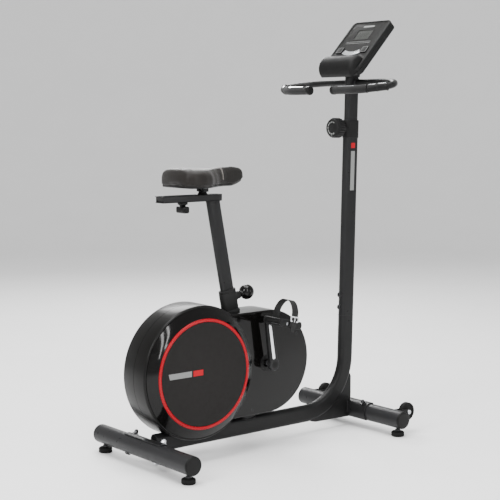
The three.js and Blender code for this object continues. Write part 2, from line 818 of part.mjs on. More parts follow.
// A point of the bar's plan, tilted about the front stretch.
function onBar(back, left) {
  return v3(BAR_FRONT_X - back * Math.cos(BAR_TILT), left, BAR_Z - back * Math.sin(BAR_TILT));
}

// The bar's centreline: straight at the stem, round at the sides, back to the rider.
function barCentreline() {
  const curve = new THREE.CatmullRomCurve3(
    [
      onBar(BAR_DEPTH, BAR_END),
      onBar(BAR_DEPTH, BAR_END + 50),
      onBar(BAR_DEPTH - 3, BAR_END + 105),
      onBar(BAR_DEPTH - 26, BAR_HALF - 40),
      onBar(BAR_DEPTH / 2 + 8, BAR_HALF),
      onBar(26, BAR_HALF - 40),
      onBar(3, BAR_HALF - 110),
      onBar(0, BAR_HALF - 180),
      onBar(0, 0),
      onBar(0, -BAR_HALF + 180),
      onBar(3, -BAR_HALF + 110),
      onBar(26, -BAR_HALF + 40),
      onBar(BAR_DEPTH / 2 + 8, -BAR_HALF),
      onBar(BAR_DEPTH - 26, -BAR_HALF + 40),
      onBar(BAR_DEPTH - 3, -BAR_END - 105),
      onBar(BAR_DEPTH, -BAR_END - 50),
      onBar(BAR_DEPTH, -BAR_END),
    ],
    false,
    "centripetal",
  );
  return curve;
}

const BAR_CURVE = barCentreline();
const BAR_LENGTH = BAR_CURVE.getLength();

const BAR_STEPS = 40;

// Where the bar is at a distance from its left end, on the straight line between two stations.
function barStation(distance) {
  const within = Math.min(BAR_LENGTH, Math.max(0, distance));
  const place = (within / BAR_LENGTH) * BAR_STEPS;
  const before = Math.min(BAR_STEPS - 1, Math.floor(place));
  const share = place - before;
  const u = before / BAR_STEPS;
  const next = (before + 1) / BAR_STEPS;
  const point = BAR_CURVE.getPointAt(u).lerp(BAR_CURVE.getPointAt(next), share);
  const along = BAR_CURVE.getTangentAt(u).lerp(BAR_CURVE.getTangentAt(next), share).normalize();
  return { point: point.addScaledVector(along, distance - within), along };
}

// The route along part of the bar, through the stations that all its sleeves share.
function barRoute(from, to) {
  const distances = [from];
  for (let i = 0; i <= BAR_STEPS; i++) {
    const distance = (BAR_LENGTH * i) / BAR_STEPS;
    if (distance > from + 1 && distance < to - 1) distances.push(distance);
  }
  distances.push(to);
  return new Route(distances.map(barStation));
}

// A sleeve around part of the bar.
function barSleeve(from, to, outer) {
  const sides = 10;
  const hollow = swept(disc((BAR_R + GAP) / Math.cos(Math.PI / sides), sides), barRoute(from - 1, to + 1));
  return cut(swept(disc(outer, SMALL), barRoute(from, to)), hollow);
}

function handlebar() {
  const hollow = swept(disc(BAR_R - BAR_WALL, 6), barRoute(-2, BAR_LENGTH + 2));
  return cut(swept(disc(BAR_R, 10), barRoute(0, BAR_LENGTH)), hollow);
}

// ---------- console ----------
const CONSOLE = new THREE.Matrix4()
  .makeTranslation(CONSOLE_X, 0, CONSOLE_Z)
  .multiply(new THREE.Matrix4().makeRotationY(-CONSOLE_TILT));
const REAR_DEPTH = CONSOLE_DEPTH - 12;
const BUTTON_UP = 96; // button middles, from the console's lower edge
const BUTTON_OUT = 60;
const LENS_UP = 172;
const LENS_HIGH = 44;
const LENS_WIDE = 70;

// A piece of the console, from outlines in its own plane: x up the slope, y left, z out of the face.
function slab(shape, z0, z1, up = CONSOLE_LENGTH / 2, left = 0) {
  const geometry = new THREE.ExtrudeGeometry(shape, { depth: z1 - z0, bevelEnabled: false });
  geometry.translate(up, left, z0);
  geometry.applyMatrix4(CONSOLE);
  return solid(geometry);
}

function consoleRear() {
  const wall = 2 * CONSOLE_WALL;
  return cut(
    slab(roundRect(CONSOLE_LENGTH, CONSOLE_WIDTH, 18), 0, REAR_DEPTH),
    slab(roundRect(CONSOLE_LENGTH - wall, CONSOLE_WIDTH - wall, 15), CONSOLE_WALL, CONSOLE_DEPTH),
  );
}

// The face, with the rolled ledge across its foot.
function consoleFront() {
  const wall = 2 * CONSOLE_WALL;
  const middle = (y) => v3(CONSOLE_X - 4, y, CONSOLE_Z + 30);
  const half = CONSOLE_WIDTH / 2 - 8;
  const below = slab(roundRect(3 * CONSOLE_LENGTH, 2 * CONSOLE_WIDTH, 10), -200, REAR_DEPTH + GAP);
  const ledge = cut(rod(LEDGE_R, middle(-half), middle(half), MEDIUM), below);
  const face = cut(
    slab(roundRect(CONSOLE_LENGTH, CONSOLE_WIDTH, 18), REAR_DEPTH + GAP, CONSOLE_DEPTH),
    slab(roundRect(CONSOLE_LENGTH - wall, CONSOLE_WIDTH - wall, 15), 0, CONSOLE_DEPTH - CONSOLE_WALL),
  );
  const openings = [slab(roundRect(LENS_HIGH, LENS_WIDE, 4), 0, CONSOLE_DEPTH + 9, LENS_UP)];
  for (const side of [-1, 1]) {
    const hole = roundRect(BUTTON + 2 * PLAY, BUTTON + 2 * PLAY, 4);
    openings.push(slab(hole, 0, CONSOLE_DEPTH + 9, BUTTON_UP, side * BUTTON_OUT));
  }
  return cut(join(face, ledge), ...openings);
}

function displayLens() {
  const long = LENS_HIGH - 2 * GAP;
  const wide = LENS_WIDE - 2 * GAP;
  return slab(roundRect(long, wide, 3.5), CONSOLE_DEPTH - CONSOLE_WALL - 1, CONSOLE_DEPTH - 0.8, LENS_UP);
}

function consoleButton(side) {
  const foot = CONSOLE_DEPTH - 9;
  const left = side * BUTTON_OUT;
  const under = CONSOLE_DEPTH - CONSOLE_WALL - 2 * BUTTON_TRAVEL;
  const cap = slab(roundRect(BUTTON, BUTTON, 3.5), foot, CONSOLE_DEPTH + 1.8, BUTTON_UP, left);
  const flange = slab(roundRect(BUTTON + 5, BUTTON + 5, 5), foot, under, BUTTON_UP, left);
  return join(cap, flange);
}

// A neck that plugs into the stem and carries a plate along the console's back.
function consoleBracket() {
  const slope = Math.tan(CONSOLE_TILT);
  const drop = GAP / Math.cos(CONSOLE_TILT);
  const backZ = (x) => CONSOLE_Z + (x - CONSOLE_X) * slope - drop;
  const half = STEM_LONG / 2;
  const from = CONSOLE_X + 22;
  const to = CONSOLE_X + 92;
  const plate = 5 / Math.cos(CONSOLE_TILT);
  const foot = [-half, half].map((ahead) => onPost(ahead, 0, STEM_TOP_Z + GAP));
  const arm = polygon([
    [foot[0].x, foot[0].z],
    [foot[1].x, foot[1].z],
    [to, backZ(to) - plate],
    [to, backZ(to)],
    [from, backZ(from)],
    [from - 1, backZ(from) - 2],
  ]);
  const long = STEM_LONG - 2 * TUBE_WALL - 2 * GAP;
  const wide = STEM_WIDE - 2 * TUBE_WALL - 2 * GAP;
  const sheet = polygon([
    [from, backZ(from) - plate],
    [to, backZ(to) - plate],
    [to, backZ(to)],
    [from, backZ(from)],
  ]);
  const plugFoot = BAR_Z + BAR_R + 2;
  return join(
    alongY(arm, -STEM_WIDE / 2, STEM_WIDE / 2),
    alongY(sheet, -36, 36),
    postBar(long, wide, plugFoot, STEM_TOP_Z + 2),
  );
}

// ---------- housing ----------
// The drum's section, drawn in by a wall for its hollow.
function drumProfile(wall) {
  return [
    [0, -BEZEL_OUT + wall],
    [BEZEL_R - wall / 2, -BEZEL_OUT + wall],
    [DRUM_R - 1 - wall, -DRUM_HALF - 2],
    [DRUM_R - wall, -DRUM_HALF],
    [DRUM_R - wall, DRUM_HALF],
    [DRUM_R - 1 - wall, DRUM_HALF + 2],
    [BEZEL_R - wall / 2, BEZEL_OUT - wall],
    [0, BEZEL_OUT - wall],
  ];
}

// The drum and the lobe as one solid, drawn in by a wall for its hollow.
function housingBody(wall) {
  const drum = turned(drumProfile(wall), v3(DRUM_X, 0, DRUM_Z), Y, LARGE);
  const radius = LOBE_R - wall;
  const half = LOBE_HALF - wall;
  const lobe = alongY(loopOutline(DRUM_X, LOBE_Z, radius, LOBE_X, LOBE_Z, radius, 14), -half + 5, half - 5);
  const faceR = radius - 5;
  const face = alongY(loopOutline(DRUM_X, LOBE_Z, faceR, LOBE_X, LOBE_Z, faceR, 14), -half, half);
  return join(drum, lobe, face);
}

function housingShell(side) {
  const far = 400;
  const [right, left] = side > 0 ? [GAP / 2, far] : [-far, -GAP / 2];
  const keep = box(-far, 2 * far, right, left, -far, 2 * far);
  const around = 2 * PLAY + 1;
  const channel = oval(TUBE_LONG + around, TUBE_WIDE + around);
  const beam = filletedRoute([{ at: v3(-60, 0, BEAM_Z) }, { at: v3(CRANK_X, 0, BEAM_Z) }]);
  return cut(
    housingBody(0).subtract(housingBody(SHELL_WALL)).intersect(keep),
    swept(channel, beam),
    seatBar(TUBE_LONG + around, TUBE_WIDE + around, BEAM_Z, SEAT_TUBE_TOP_Z),
    bore(AXLE_R + 6, v3(CRANK_X, -far, CRANK_Z), v3(CRANK_X, far, CRANK_Z), MEDIUM),
  );
}

function sideDisc(side) {
  const along = Y.clone().multiplyScalar(side);
  const profile = [
    [0, BEZEL_OUT + GAP],
    [RING_IN_R - GAP, BEZEL_OUT + GAP],
    [RING_IN_R - GAP, BEZEL_OUT + GAP + DISC_THICK],
    [0, BEZEL_OUT + GAP + DISC_THICK],
  ];
  return turned(profile, v3(DRUM_X, 0, DRUM_Z), along, LARGE);
}

function sideRing(side) {
  const along = Y.clone().multiplyScalar(side);
  const low = BEZEL_OUT + GAP;
  const profile = [
    [RING_IN_R, low],
    [RING_OUT_R, low],
    [RING_OUT_R, low + RING_THICK],
    [RING_IN_R, low + RING_THICK],
    [RING_IN_R, low],
  ];
  return turned(profile, v3(DRUM_X, 0, DRUM_Z), along, LARGE);
}

// ---------- drive ----------
const PULLEY_SIDES = 24;
const AXLE_HALF = CRANK_IN + CRANK_THICK - 1;

function crankAxle() {
  return rod(AXLE_R, v3(CRANK_X, -AXLE_HALF, CRANK_Z), v3(CRANK_X, AXLE_HALF, CRANK_Z), MEDIUM);
}

function crankBearing() {
  const outer = BRACKET_R - 4 - GAP;
  const profile = [
    [AXLE_R + GAP, BRACKET_FROM + 1],
    [outer, BRACKET_FROM + 1],
    [outer, BRACKET_TO - 1],
    [AXLE_R + GAP, BRACKET_TO - 1],
    [AXLE_R + GAP, BRACKET_FROM + 1],
  ];
  return turned(profile, v3(CRANK_X, 0, CRANK_Z), Y);
}

// An arm with the pedal's spindle; the left arm points the other way.
function crankArm(side) {
  const flip = side > 0 ? -1 : 1;
  const px = CRANK_X + flip * (PEDAL_X - CRANK_X);
  const pz = CRANK_Z + flip * (PEDAL_Z - CRANK_Z);
  const y0 = side * CRANK_IN;
  const y1 = side * (CRANK_IN + CRANK_THICK);
  const outline = loopOutline(CRANK_X, CRANK_Z, 17, px, pz, 13, 10);
  const arm = alongY(outline, Math.min(y0, y1), Math.max(y0, y1));
  const hub = rod(20, v3(CRANK_X, y0 - side * 4, CRANK_Z), v3(CRANK_X, y1 + side * 2, CRANK_Z), MEDIUM);
  const tip = side * (PEDAL_FROM + PEDAL_WIDE - 4);
  const spindle = rod(SPINDLE_R, v3(px, y0 + side * 2, pz), v3(px, tip, pz));
  const hole = bore(AXLE_R + GAP, v3(CRANK_X, 0, CRANK_Z), v3(CRANK_X, y1 + side * 0.5, CRANK_Z), MEDIUM);
  return cut(join(arm, hub, spindle), hole);
}

// The pedal's tread and its foot strap share one frame: x towards the toe, y outwards.
function pedalFrame(side) {
  const flip = side > 0 ? -1 : 1;
  const px = CRANK_X + flip * (PEDAL_X - CRANK_X);
  const pz = CRANK_Z + flip * (PEDAL_Z - CRANK_Z);
  const tilt = new THREE.Matrix4().makeRotationY(PEDAL_TILT);
  return new THREE.Matrix4().makeTranslation(px, side * (PEDAL_FROM + PEDAL_WIDE / 2), pz).multiply(tilt);
}

function pedal(side) {
  const h = PEDAL_THICK / 2;
  const toe = PEDAL_LONG - PEDAL_BACK;
  const section = polygon([
    [-PEDAL_BACK, -4],
    [-PEDAL_BACK + 16, -h],
    [toe - 22, -h],
    [toe - 6, -h + 2],
    [toe, -4],
    [toe, 5],
    [toe - 5, h],
    [-PEDAL_BACK + 5, h],
    [-PEDAL_BACK, 5],
  ]);
  const w = PEDAL_WIDE / 2;
  const edge = SPINDLE_R + 6;
  const windows = [
    box(-PEDAL_BACK + 8, -edge, -w + 12, w - 12, -2 * h, 2 * h),
    box(edge, toe - 12, -w + 12, w - 12, -2 * h, 2 * h),
  ];
  const hole = bore(SPINDLE_R + PLAY, v3(0, -side * 60, 0), v3(0, side * (w - 3), 0));
  const made = cut(alongY(section, -w, w), hole, ...windows);
  return made.transform(pedalFrame(side).elements);
}

// A band that arches over the foot from one side of the pedal to the other.
function footStrap(side) {
  const half = PEDAL_WIDE / 2 + GAP + STRAP_THICK;
  const arch = (inset) => {
    const h = STRAP_HIGH - inset;
    const w = half - inset;
    const low = -PEDAL_THICK / 2 + 4;
    const shape = new THREE.Shape();
    shape.moveTo(-w, low);
    shape.lineTo(w, low);
    shape.lineTo(w, PEDAL_THICK / 2 + 3);
    for (let i = 0; i <= 8; i++) {
      const angle = (Math.PI * i) / 8;
      shape.lineTo((w - 3) * Math.cos(angle), h - 34 + 34 * Math.sin(angle));
    }
    shape.lineTo(-w, PEDAL_THICK / 2 + 3);
    shape.closePath();
    return shape;
  };
  const ahead = SPINDLE_R + STRAP_WIDE / 2;
  const band = alongX(arch(0), ahead - STRAP_WIDE / 2, ahead + STRAP_WIDE / 2);
  const hole = alongX(arch(STRAP_THICK), ahead - STRAP_WIDE, ahead + STRAP_WIDE);
  const mouth = box(-60, 60, -half + STRAP_THICK, half - STRAP_THICK, -PEDAL_THICK, 0);
  const slack = bore(SPINDLE_R + 2, v3(0, 0, 0), v3(0, -side * 90, 0));
  return cut(band, hole, mouth, slack).transform(pedalFrame(side).elements);
}

function drivePulley() {
  const half = BELT_WIDE / 2;
  const profile = [
    [AXLE_R + GAP, -half - 2],
    [PULLEY_R + 3, -half - 2],
    [PULLEY_R + 3, -half],
    [PULLEY_R, -half],
    [PULLEY_R, half],
    [PULLEY_R + 3, half],
    [PULLEY_R + 3, half + 2],
    [PULLEY_R - 8, half + 2],
    [PULLEY_R - 12, 0],
    [20, 0],
    [20, half + 2],
    [AXLE_R + GAP, half + 2],
    [AXLE_R + GAP, -half - 2],
  ];
  return turned(profile, v3(CRANK_X, PULLEY_Y, CRANK_Z), Y, PULLEY_SIDES);
}

function driveBelt() {
  const half = BELT_WIDE / 2 - GAP;
  const loop = (extra) => loopOutline(
    DRUM_X, DRUM_Z, FLYWHEEL_PULLEY_R + extra,
    CRANK_X, CRANK_Z, PULLEY_R + extra, 16,
  );
  return cut(
    alongY(loop(BELT_THICK + PLAY), PULLEY_Y - half, PULLEY_Y + half),
    alongY(loop(2 * PLAY), PULLEY_Y - half - 1, PULLEY_Y + half + 1),
  );
}

function flywheel() {
  const half = FLYWHEEL_WIDE / 2;
  const eye = FLYWHEEL_AXLE_R + PLAY;
  const belt = PULLEY_Y - BELT_WIDE / 2;
  const profile = [
    [eye, -half - 5],
    [20, -half - 5],
    [20, -4],
    [FLYWHEEL_R - 30, -4],
    [FLYWHEEL_R - 28, -half],
    [FLYWHEEL_R, -half],
    [FLYWHEEL_R, half],
    [FLYWHEEL_R - 28, half],
    [FLYWHEEL_R - 30, 4],
    [FLYWHEEL_PULLEY_R + 3, 4],
    [FLYWHEEL_PULLEY_R + 3, belt],
    [FLYWHEEL_PULLEY_R, belt],
    [FLYWHEEL_PULLEY_R, belt + BELT_WIDE],
    [FLYWHEEL_PULLEY_R + 3, belt + BELT_WIDE],
    [FLYWHEEL_PULLEY_R + 3, belt + BELT_WIDE + 1.5],
    [eye, belt + BELT_WIDE + 1.5],
    [eye, -half - 5],
  ];
  return turned(profile, v3(DRUM_X, 0, DRUM_Z), Y, PULLEY_SIDES);
}

// The fixed axle with a nut outside each fork plate.
function flywheelAxle() {
  const nut = FORK_IN + PLATE + GAP;
  const end = nut + 12;
  const profile = [
    [0, -end],
    [FLYWHEEL_AXLE_R, -end],
    [FLYWHEEL_AXLE_R, -nut - 7],
    [11, -nut - 7],
    [11, -nut],
    [FLYWHEEL_AXLE_R, -nut],
    [FLYWHEEL_AXLE_R, nut],
    [11, nut],
    [11, nut + 7],
    [FLYWHEEL_AXLE_R, nut + 7],
    [FLYWHEEL_AXLE_R, end],
    [0, end],
  ];
  return turned(profile, v3(DRUM_X, 0, DRUM_Z), Y, SMALL);
}

// The swinging arc that brings its magnets to the flywheel's rim.
function magnetBracket() {
  const arc = (r0, r1, from, to, half) => {
    const points = [];
    const steps = Math.ceil((to - from) / (9 * DEG));
    for (let i = 0; i <= steps; i++) {
      const angle = from + ((to - from) * i) / steps;
      points.push([DRUM_X + r1 * Math.cos(angle), DRUM_Z + r1 * Math.sin(angle)]);
    }
    for (let i = steps; i >= 0; i--) {
      const angle = from + ((to - from) * i) / steps;
      points.push([DRUM_X + r0 * Math.cos(angle), DRUM_Z + r0 * Math.sin(angle)]);
    }
    return alongY(polygon(points), -half, half);
  };
  const rim = FLYWHEEL_R + MAGNET_GAP;
  const strap = arc(rim + 5, rim + 8, -76 * DEG, -26 * DEG, 14);
  const magnets = [-68, -54, -40].map((a) => arc(rim, rim + 6, (a - 5) * DEG, (a + 5) * DEG, 12));
  const eye = rod(9, v3(PIVOT_X, -14, PIVOT_Z), v3(PIVOT_X, 14, PIVOT_Z), 16);
  const hole = bore(4 + PLAY, v3(PIVOT_X, -30, PIVOT_Z), v3(PIVOT_X, 30, PIVOT_Z));
  return cut(join(strap, eye, ...magnets), hole);
}

// ---------- seat ----------
// The pin's axis is square to the seat tube, through its front wall.
function pinPoint(ahead) {
  const at = v3(seatX(PIN_Z), 0, PIN_Z);
  return at.add(v3(Math.cos(SEAT_LEAN), 0, Math.sin(SEAT_LEAN)).multiplyScalar(ahead));
}

function pinHole(radius) {
  return bore(radius, pinPoint(10), pinPoint(TUBE_LONG / 2 + 10), 14);
}

function seatBushing() {
  const long = BORE_LONG - 2 * GAP;
  const wide = BORE_WIDE - 2 * GAP;
  return cut(
    join(
      seatBar(long, wide, SEAT_TUBE_TOP_Z - 60, SEAT_TUBE_TOP_Z + 2),
      seatBar(TUBE_LONG + 2, TUBE_WIDE + 2, SEAT_TUBE_TOP_Z + GAP, BUSHING_TOP_Z),
    ),
    seatBar(SEAT_POST_LONG + 2 * GAP, SEAT_POST_WIDE + 2 * GAP, SEAT_TUBE_TOP_Z - 70, BUSHING_TOP_Z + 10),
    pinHole(6 + GAP),
  );
}

// The pull pin: a barrel that stands in the tube's wall, a bright stem and a ball.
function seatPin() {
  const start = SEAT_POST_LONG / 2 + PLAY;
  const wall = TUBE_LONG / 2;
  const ball = wall + 22 + PIN_BALL_R;
  const profile = [
    [0, start],
    [5, start],
    [5, wall + 22 - 4],
    [10, wall + 22 - 4],
  ];
  const steps = 8;
  for (let i = 2; i < steps; i++) {
    const angle = Math.PI - (Math.PI * i) / steps;
    profile.push([PIN_BALL_R * Math.sin(angle), ball + PIN_BALL_R * Math.cos(angle)]);
  }
  profile.push([0, ball + PIN_BALL_R]);
  const along = pinPoint(1).sub(pinPoint(0));
  return turned(profile, pinPoint(0), along, 16);
}

// The seat post with the slotted rail welded across its top.
function seatPost() {
  const wall = 2 * SEAT_POST_WALL;
  const half = RAIL_WIDE / 2;
  const top = RAIL_Z + RAIL_HIGH;
  const end = RAIL_TO_X - half;
  const outline = roundRect(RAIL_TO_X - RAIL_FROM_X, RAIL_WIDE, 12);
  const middle = (RAIL_FROM_X + RAIL_TO_X) / 2;
  const outside = alongZ(outline, RAIL_Z, top).translate([middle, 0, 0]);
  const inner = half - RAIL_WALL;
  const floor = RAIL_Z + RAIL_WALL;
  const hollow = box(RAIL_FROM_X - 1, RAIL_TO_X - 6, -inner, inner, floor, top - RAIL_WALL);
  const slot = box(RAIL_FROM_X - 1, end, -RAIL_SLOT / 2, RAIL_SLOT / 2, floor, top + 1);
  const screw = 12;
  const lock = box(LOCK_X - SADDLE_TRAVEL - screw, LOCK_X + SADDLE_TRAVEL + screw, -7, 7, RAIL_Z - 1, top);
  return cut(
    join(seatBar(SEAT_POST_LONG, SEAT_POST_WIDE, SEAT_POST_FOOT_Z, RAIL_Z + 1), outside),
    seatBar(SEAT_POST_LONG - wall, SEAT_POST_WIDE - wall, SEAT_POST_FOOT_Z - 5, RAIL_Z - 3),
    hollow,
    slot,
    lock,
    ...pinRow(),
  );
}

// The height holes in the front of the seat post.
function pinRow() {
  const step = 25;
  const holes = [];
  for (let i = -2; i <= 4; i++) {
    const up = v3(-Math.sin(SEAT_LEAN), 0, Math.cos(SEAT_LEAN)).multiplyScalar(step * i);
    const from = pinPoint(SEAT_POST_LONG / 2 - 4).add(up);
    holes.push(bore(5 + GAP, from, pinPoint(SEAT_POST_LONG / 2 + 4).add(up), 6));
  }
  return holes;
}

// The block inside the rail, with the saddle's stalk on top.
function saddleCarriage() {
  const half = RAIL_WIDE / 2 - RAIL_WALL - PLAY;
  const low = RAIL_Z + RAIL_WALL + PLAY;
  const high = RAIL_Z + RAIL_HIGH - RAIL_WALL - PLAY;
  const block = box(LOCK_X - 16, CLAMP_X + 18, -half, half, low, high);
  const stalk = rod(RAIL_SLOT / 2 - 1, v3(CLAMP_X, 0, high - 2), v3(CLAMP_X, 0, SADDLE_Z - 13), MEDIUM);
  const fork = [-1, 1].map((side) => {
    const y = side * 9;
    return box(CLAMP_X - 9, CLAMP_X + 9, y - 2.5, y + 2.5, SADDLE_Z - 16, SADDLE_Z - 1.5);
  });
  const pin = (y) => v3(CLAMP_X, y, SADDLE_Z - 8);
  return cut(
    join(block, stalk, ...fork, rod(3, pin(-EARS_OUT), pin(EARS_OUT))),
    bore(4 + GAP, v3(LOCK_X, 0, low - 1), v3(LOCK_X, 0, high + 1)),
  );
}

// The lock under the rail: a tee that turns its screw in the carriage.
function saddleLock() {
  const under = RAIL_Z - PLAY;
  const shaft = turned(
    [
      [0, under - 14],
      [11, under - 14],
      [11, under - 8],
      [16, under - 6],
      [16, under],
      [4, under],
      [4, RAIL_Z + RAIL_HIGH - RAIL_WALL - 2],
      [0, RAIL_Z + RAIL_HIGH - RAIL_WALL - 2],
    ],
    v3(LOCK_X, 0, 0),
    Z,
    16,
  );
  const tee = alongZ(roundRect(24, 54, 11), under - 34, under - 13).translate([LOCK_X, 0, 0]);
  return join(shaft, tee);
}

// Half-width of the saddle, from its rear edge to its nose.
const SADDLE_PLAN = [
  [0, 0.42],
  [0.03, 0.72],
  [0.1, 0.93],
  [0.2, 1],
  [0.32, 0.93],
  [0.45, 0.68],
  [0.58, 0.43],
  [0.72, 0.29],
  [0.88, 0.235],
  [0.96, 0.19],
  [1, 0.1],
];

// The saddle's outline seen from above, drawn in a little by an inset.
function saddleOutline(inset) {
  const long = SADDLE_NOSE_X - SADDLE_REAR_X;
  const side = (sign) => SADDLE_PLAN.map(([u, w]) => {
    const x = Math.min(SADDLE_NOSE_X - inset, Math.max(SADDLE_REAR_X + inset, SADDLE_REAR_X + u * long));
    return new THREE.Vector2(x, sign * (w * SADDLE_HALF - inset * Math.min(1, 2 * w)));
  });
  const right = new THREE.SplineCurve(side(-1)).getPoints(18);
  const left = new THREE.SplineCurve(side(1)).getPoints(18).reverse();
  return new THREE.Shape([...right, ...left]);
}

function saddlePad() {
  const low = SADDLE_Z + SADDLE_BASE + GAP;
  const high = SADDLE_Z + SADDLE_BASE + SADDLE_PAD;
  return join(
    alongZ(saddleOutline(4), low, high - 26),
    alongZ(saddleOutline(0), low + 6, high - 12),
    alongZ(saddleOutline(5), high - 14, high - 5),
    alongZ(saddleOutline(13), high - 6, high),
  );
}

// The moulded base with its two ears for the clamp's pin.
function saddleBase() {
  const base = alongZ(saddleOutline(9), SADDLE_Z, SADDLE_Z + SADDLE_BASE);
  const ears = [-1, 1].map((side) => {
    const y = side * (EARS_OUT - 3);
    return box(CLAMP_X - 10, CLAMP_X + 10, y - 3, y + 3, SADDLE_Z - 15, SADDLE_Z + 1);
  });
  const pin = (y) => v3(CLAMP_X, y, SADDLE_Z - 8);
  return cut(join(base, ...ears), bore(3 + GAP, pin(-40), pin(40)));
}

// ---------- assembly ----------
const STEEL = { color: 0x2a2b2c, roughness: 0.42, metalness: 0.35 };
const BLACK_PLASTIC = { color: 0x161616, roughness: 0.5, metalness: 0 };
const GLOSS_BLACK = { color: 0x0c0c0d, roughness: 0.12, metalness: 0 };
const MATTE_BLACK = { color: 0x242220, roughness: 0.7, metalness: 0 };
const RUBBER = { color: 0x101010, roughness: 0.85, metalness: 0 };
const FOAM = { color: 0x1d1e1e, roughness: 0.95, metalness: 0 };
const VINYL = { color: 0x2d2826, roughness: 0.6, metalness: 0 };
const RED = { color: 0xc81e32, roughness: 0.35, metalness: 0 };
const BRIGHT = { color: 0xc9ccd0, roughness: 0.25, metalness: 1 };
const IRON = { color: 0x6c7074, roughness: 0.4, metalness: 1 };
const GLASS = { color: 0x6f7770, roughness: 0.1, metalness: 0 };

const bike = new THREE.Group();

function add(name, made, look, parent = bike) {
  const mesh = new THREE.Mesh(geometryOf(made), new THREE.MeshStandardMaterial(look));
  mesh.name = name;
  parent.add(mesh);
}

const SIDES = [["left", 1], ["right", -1]];
const ENDS = [["rear", 0], ["front", WHEELBASE]];

add("main_frame", mainFrame(), STEEL);
for (const [end, x] of ENDS) {
  add(end + "_stabiliser", stabiliser(x), STEEL);
  for (const [side, sign] of SIDES) {
    add(end + "_end_cap_" + side, endCap(x, sign), BLACK_PLASTIC);
    add(end + "_foot_" + side, levellingFoot(x, sign), RUBBER);
    add(end + "_bolt_" + side, stabiliserBolt(x, sign), IRON);
  }
}
for (const [side, sign] of SIDES) {
  add("transport_wheel_" + side, transportWheel(sign), RUBBER);
}

add("upper_post", upperPost(), STEEL);
add("post_bolts", postBolts(), IRON);
add("tension_collar", tensionCollar(), BLACK_PLASTIC);
add("tension_knob", tensionKnob(), BLACK_PLASTIC);
add("tension_cable", tensionCable(), RUBBER);
add("handlebar_stem", stemTube(), STEEL);
add("handlebar", handlebar(), STEEL);
const gripOuter = BAR_R + GAP + GRIP_WALL;
const sensorOuter = BAR_R + GAP + 2;
for (const [side, sign] of SIDES) {
  const mirror = (d) => (sign > 0 ? d : BAR_LENGTH - d);
  const span = (a, b) => [Math.min(mirror(a), mirror(b)), Math.max(mirror(a), mirror(b))];
  const grip = span(1, GRIP_LENGTH);
  const sensor = span(GRIP_LENGTH + 2, GRIP_LENGTH + 2 + SENSOR_LENGTH);
  add("grip_" + side, barSleeve(...grip, gripOuter), FOAM);
  add("pulse_sensor_" + side, barSleeve(...sensor, sensorOuter), BRIGHT);
}

add("console_bracket", consoleBracket(), STEEL);
add("console_rear_shell", consoleRear(), BLACK_PLASTIC);
add("console_front_shell", consoleFront(), MATTE_BLACK);
add("display_lens", displayLens(), GLASS);
for (const [side, sign] of SIDES) {
  add("console_button_" + side, consoleButton(sign), BLACK_PLASTIC);
}

for (const [side, sign] of SIDES) {
  add("housing_" + side, housingShell(sign), GLOSS_BLACK);
  add("side_disc_" + side, sideDisc(sign), MATTE_BLACK);
  add("side_ring_" + side, sideRing(sign), RED);
}

add("crank_axle", crankAxle(), IRON);
add("crank_bearing", crankBearing(), IRON);
add("drive_pulley", drivePulley(), BLACK_PLASTIC);
add("drive_belt", driveBelt(), RUBBER);
add("flywheel", flywheel(), IRON);
add("flywheel_axle", flywheelAxle(), IRON);
add("magnet_bracket", magnetBracket(), IRON);
for (const [side, sign] of SIDES) {
  add("crank_arm_" + side, crankArm(sign), STEEL);
  add("pedal_" + side, pedal(sign), BLACK_PLASTIC);
  add("foot_strap_" + side, footStrap(sign), RUBBER);
}

add("seat_bushing", seatBushing(), BLACK_PLASTIC);
add("seat_pin", seatPin(), BLACK_PLASTIC);
add("seat_post", seatPost(), STEEL);
add("saddle_carriage", saddleCarriage(), STEEL);
add("saddle_lock", saddleLock(), BLACK_PLASTIC);
add("saddle_base", saddleBase(), BLACK_PLASTIC);
add("saddle_pad", saddlePad(), VINYL);

// The origin is on the floor, under the middle of the whole bike.
const around = new THREE.Box3().setFromObject(bike, true);
bike.position.set(-(around.min.x + around.max.x) / 2, 0, -around.min.z);

export default bike;
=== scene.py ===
"""The looks of an upright exercise bike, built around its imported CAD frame.

Pieces are drawn in millimetres, with x from the rear stabiliser's axis, y to the rider's left
and z up from the floor, and become metres in the frame when their mesh is made.
"""
import json
import math

import bmesh
import bpy
from mathutils import Matrix, Vector
from mathutils.bvhtree import BVHTree


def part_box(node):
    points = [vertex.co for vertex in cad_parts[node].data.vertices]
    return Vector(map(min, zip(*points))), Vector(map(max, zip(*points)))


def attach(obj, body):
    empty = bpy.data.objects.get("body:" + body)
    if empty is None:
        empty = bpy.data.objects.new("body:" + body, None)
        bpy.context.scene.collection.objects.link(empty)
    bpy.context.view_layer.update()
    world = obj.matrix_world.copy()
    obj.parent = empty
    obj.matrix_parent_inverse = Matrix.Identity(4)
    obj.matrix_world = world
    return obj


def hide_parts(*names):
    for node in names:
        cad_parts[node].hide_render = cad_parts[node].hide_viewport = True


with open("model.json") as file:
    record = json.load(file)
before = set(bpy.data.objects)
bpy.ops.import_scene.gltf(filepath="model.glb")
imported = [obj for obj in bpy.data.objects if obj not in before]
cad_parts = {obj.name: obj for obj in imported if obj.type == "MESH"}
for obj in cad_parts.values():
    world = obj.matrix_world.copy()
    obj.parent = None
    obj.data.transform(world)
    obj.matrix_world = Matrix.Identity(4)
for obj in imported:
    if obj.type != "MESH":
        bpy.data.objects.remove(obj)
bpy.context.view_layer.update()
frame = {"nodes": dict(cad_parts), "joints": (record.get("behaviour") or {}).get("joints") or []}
MM = 0.001
REAR_LOW, REAR_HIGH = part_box("rear_stabiliser")
REAR_X = (REAR_LOW.x + REAR_HIGH.x) / 2 / MM


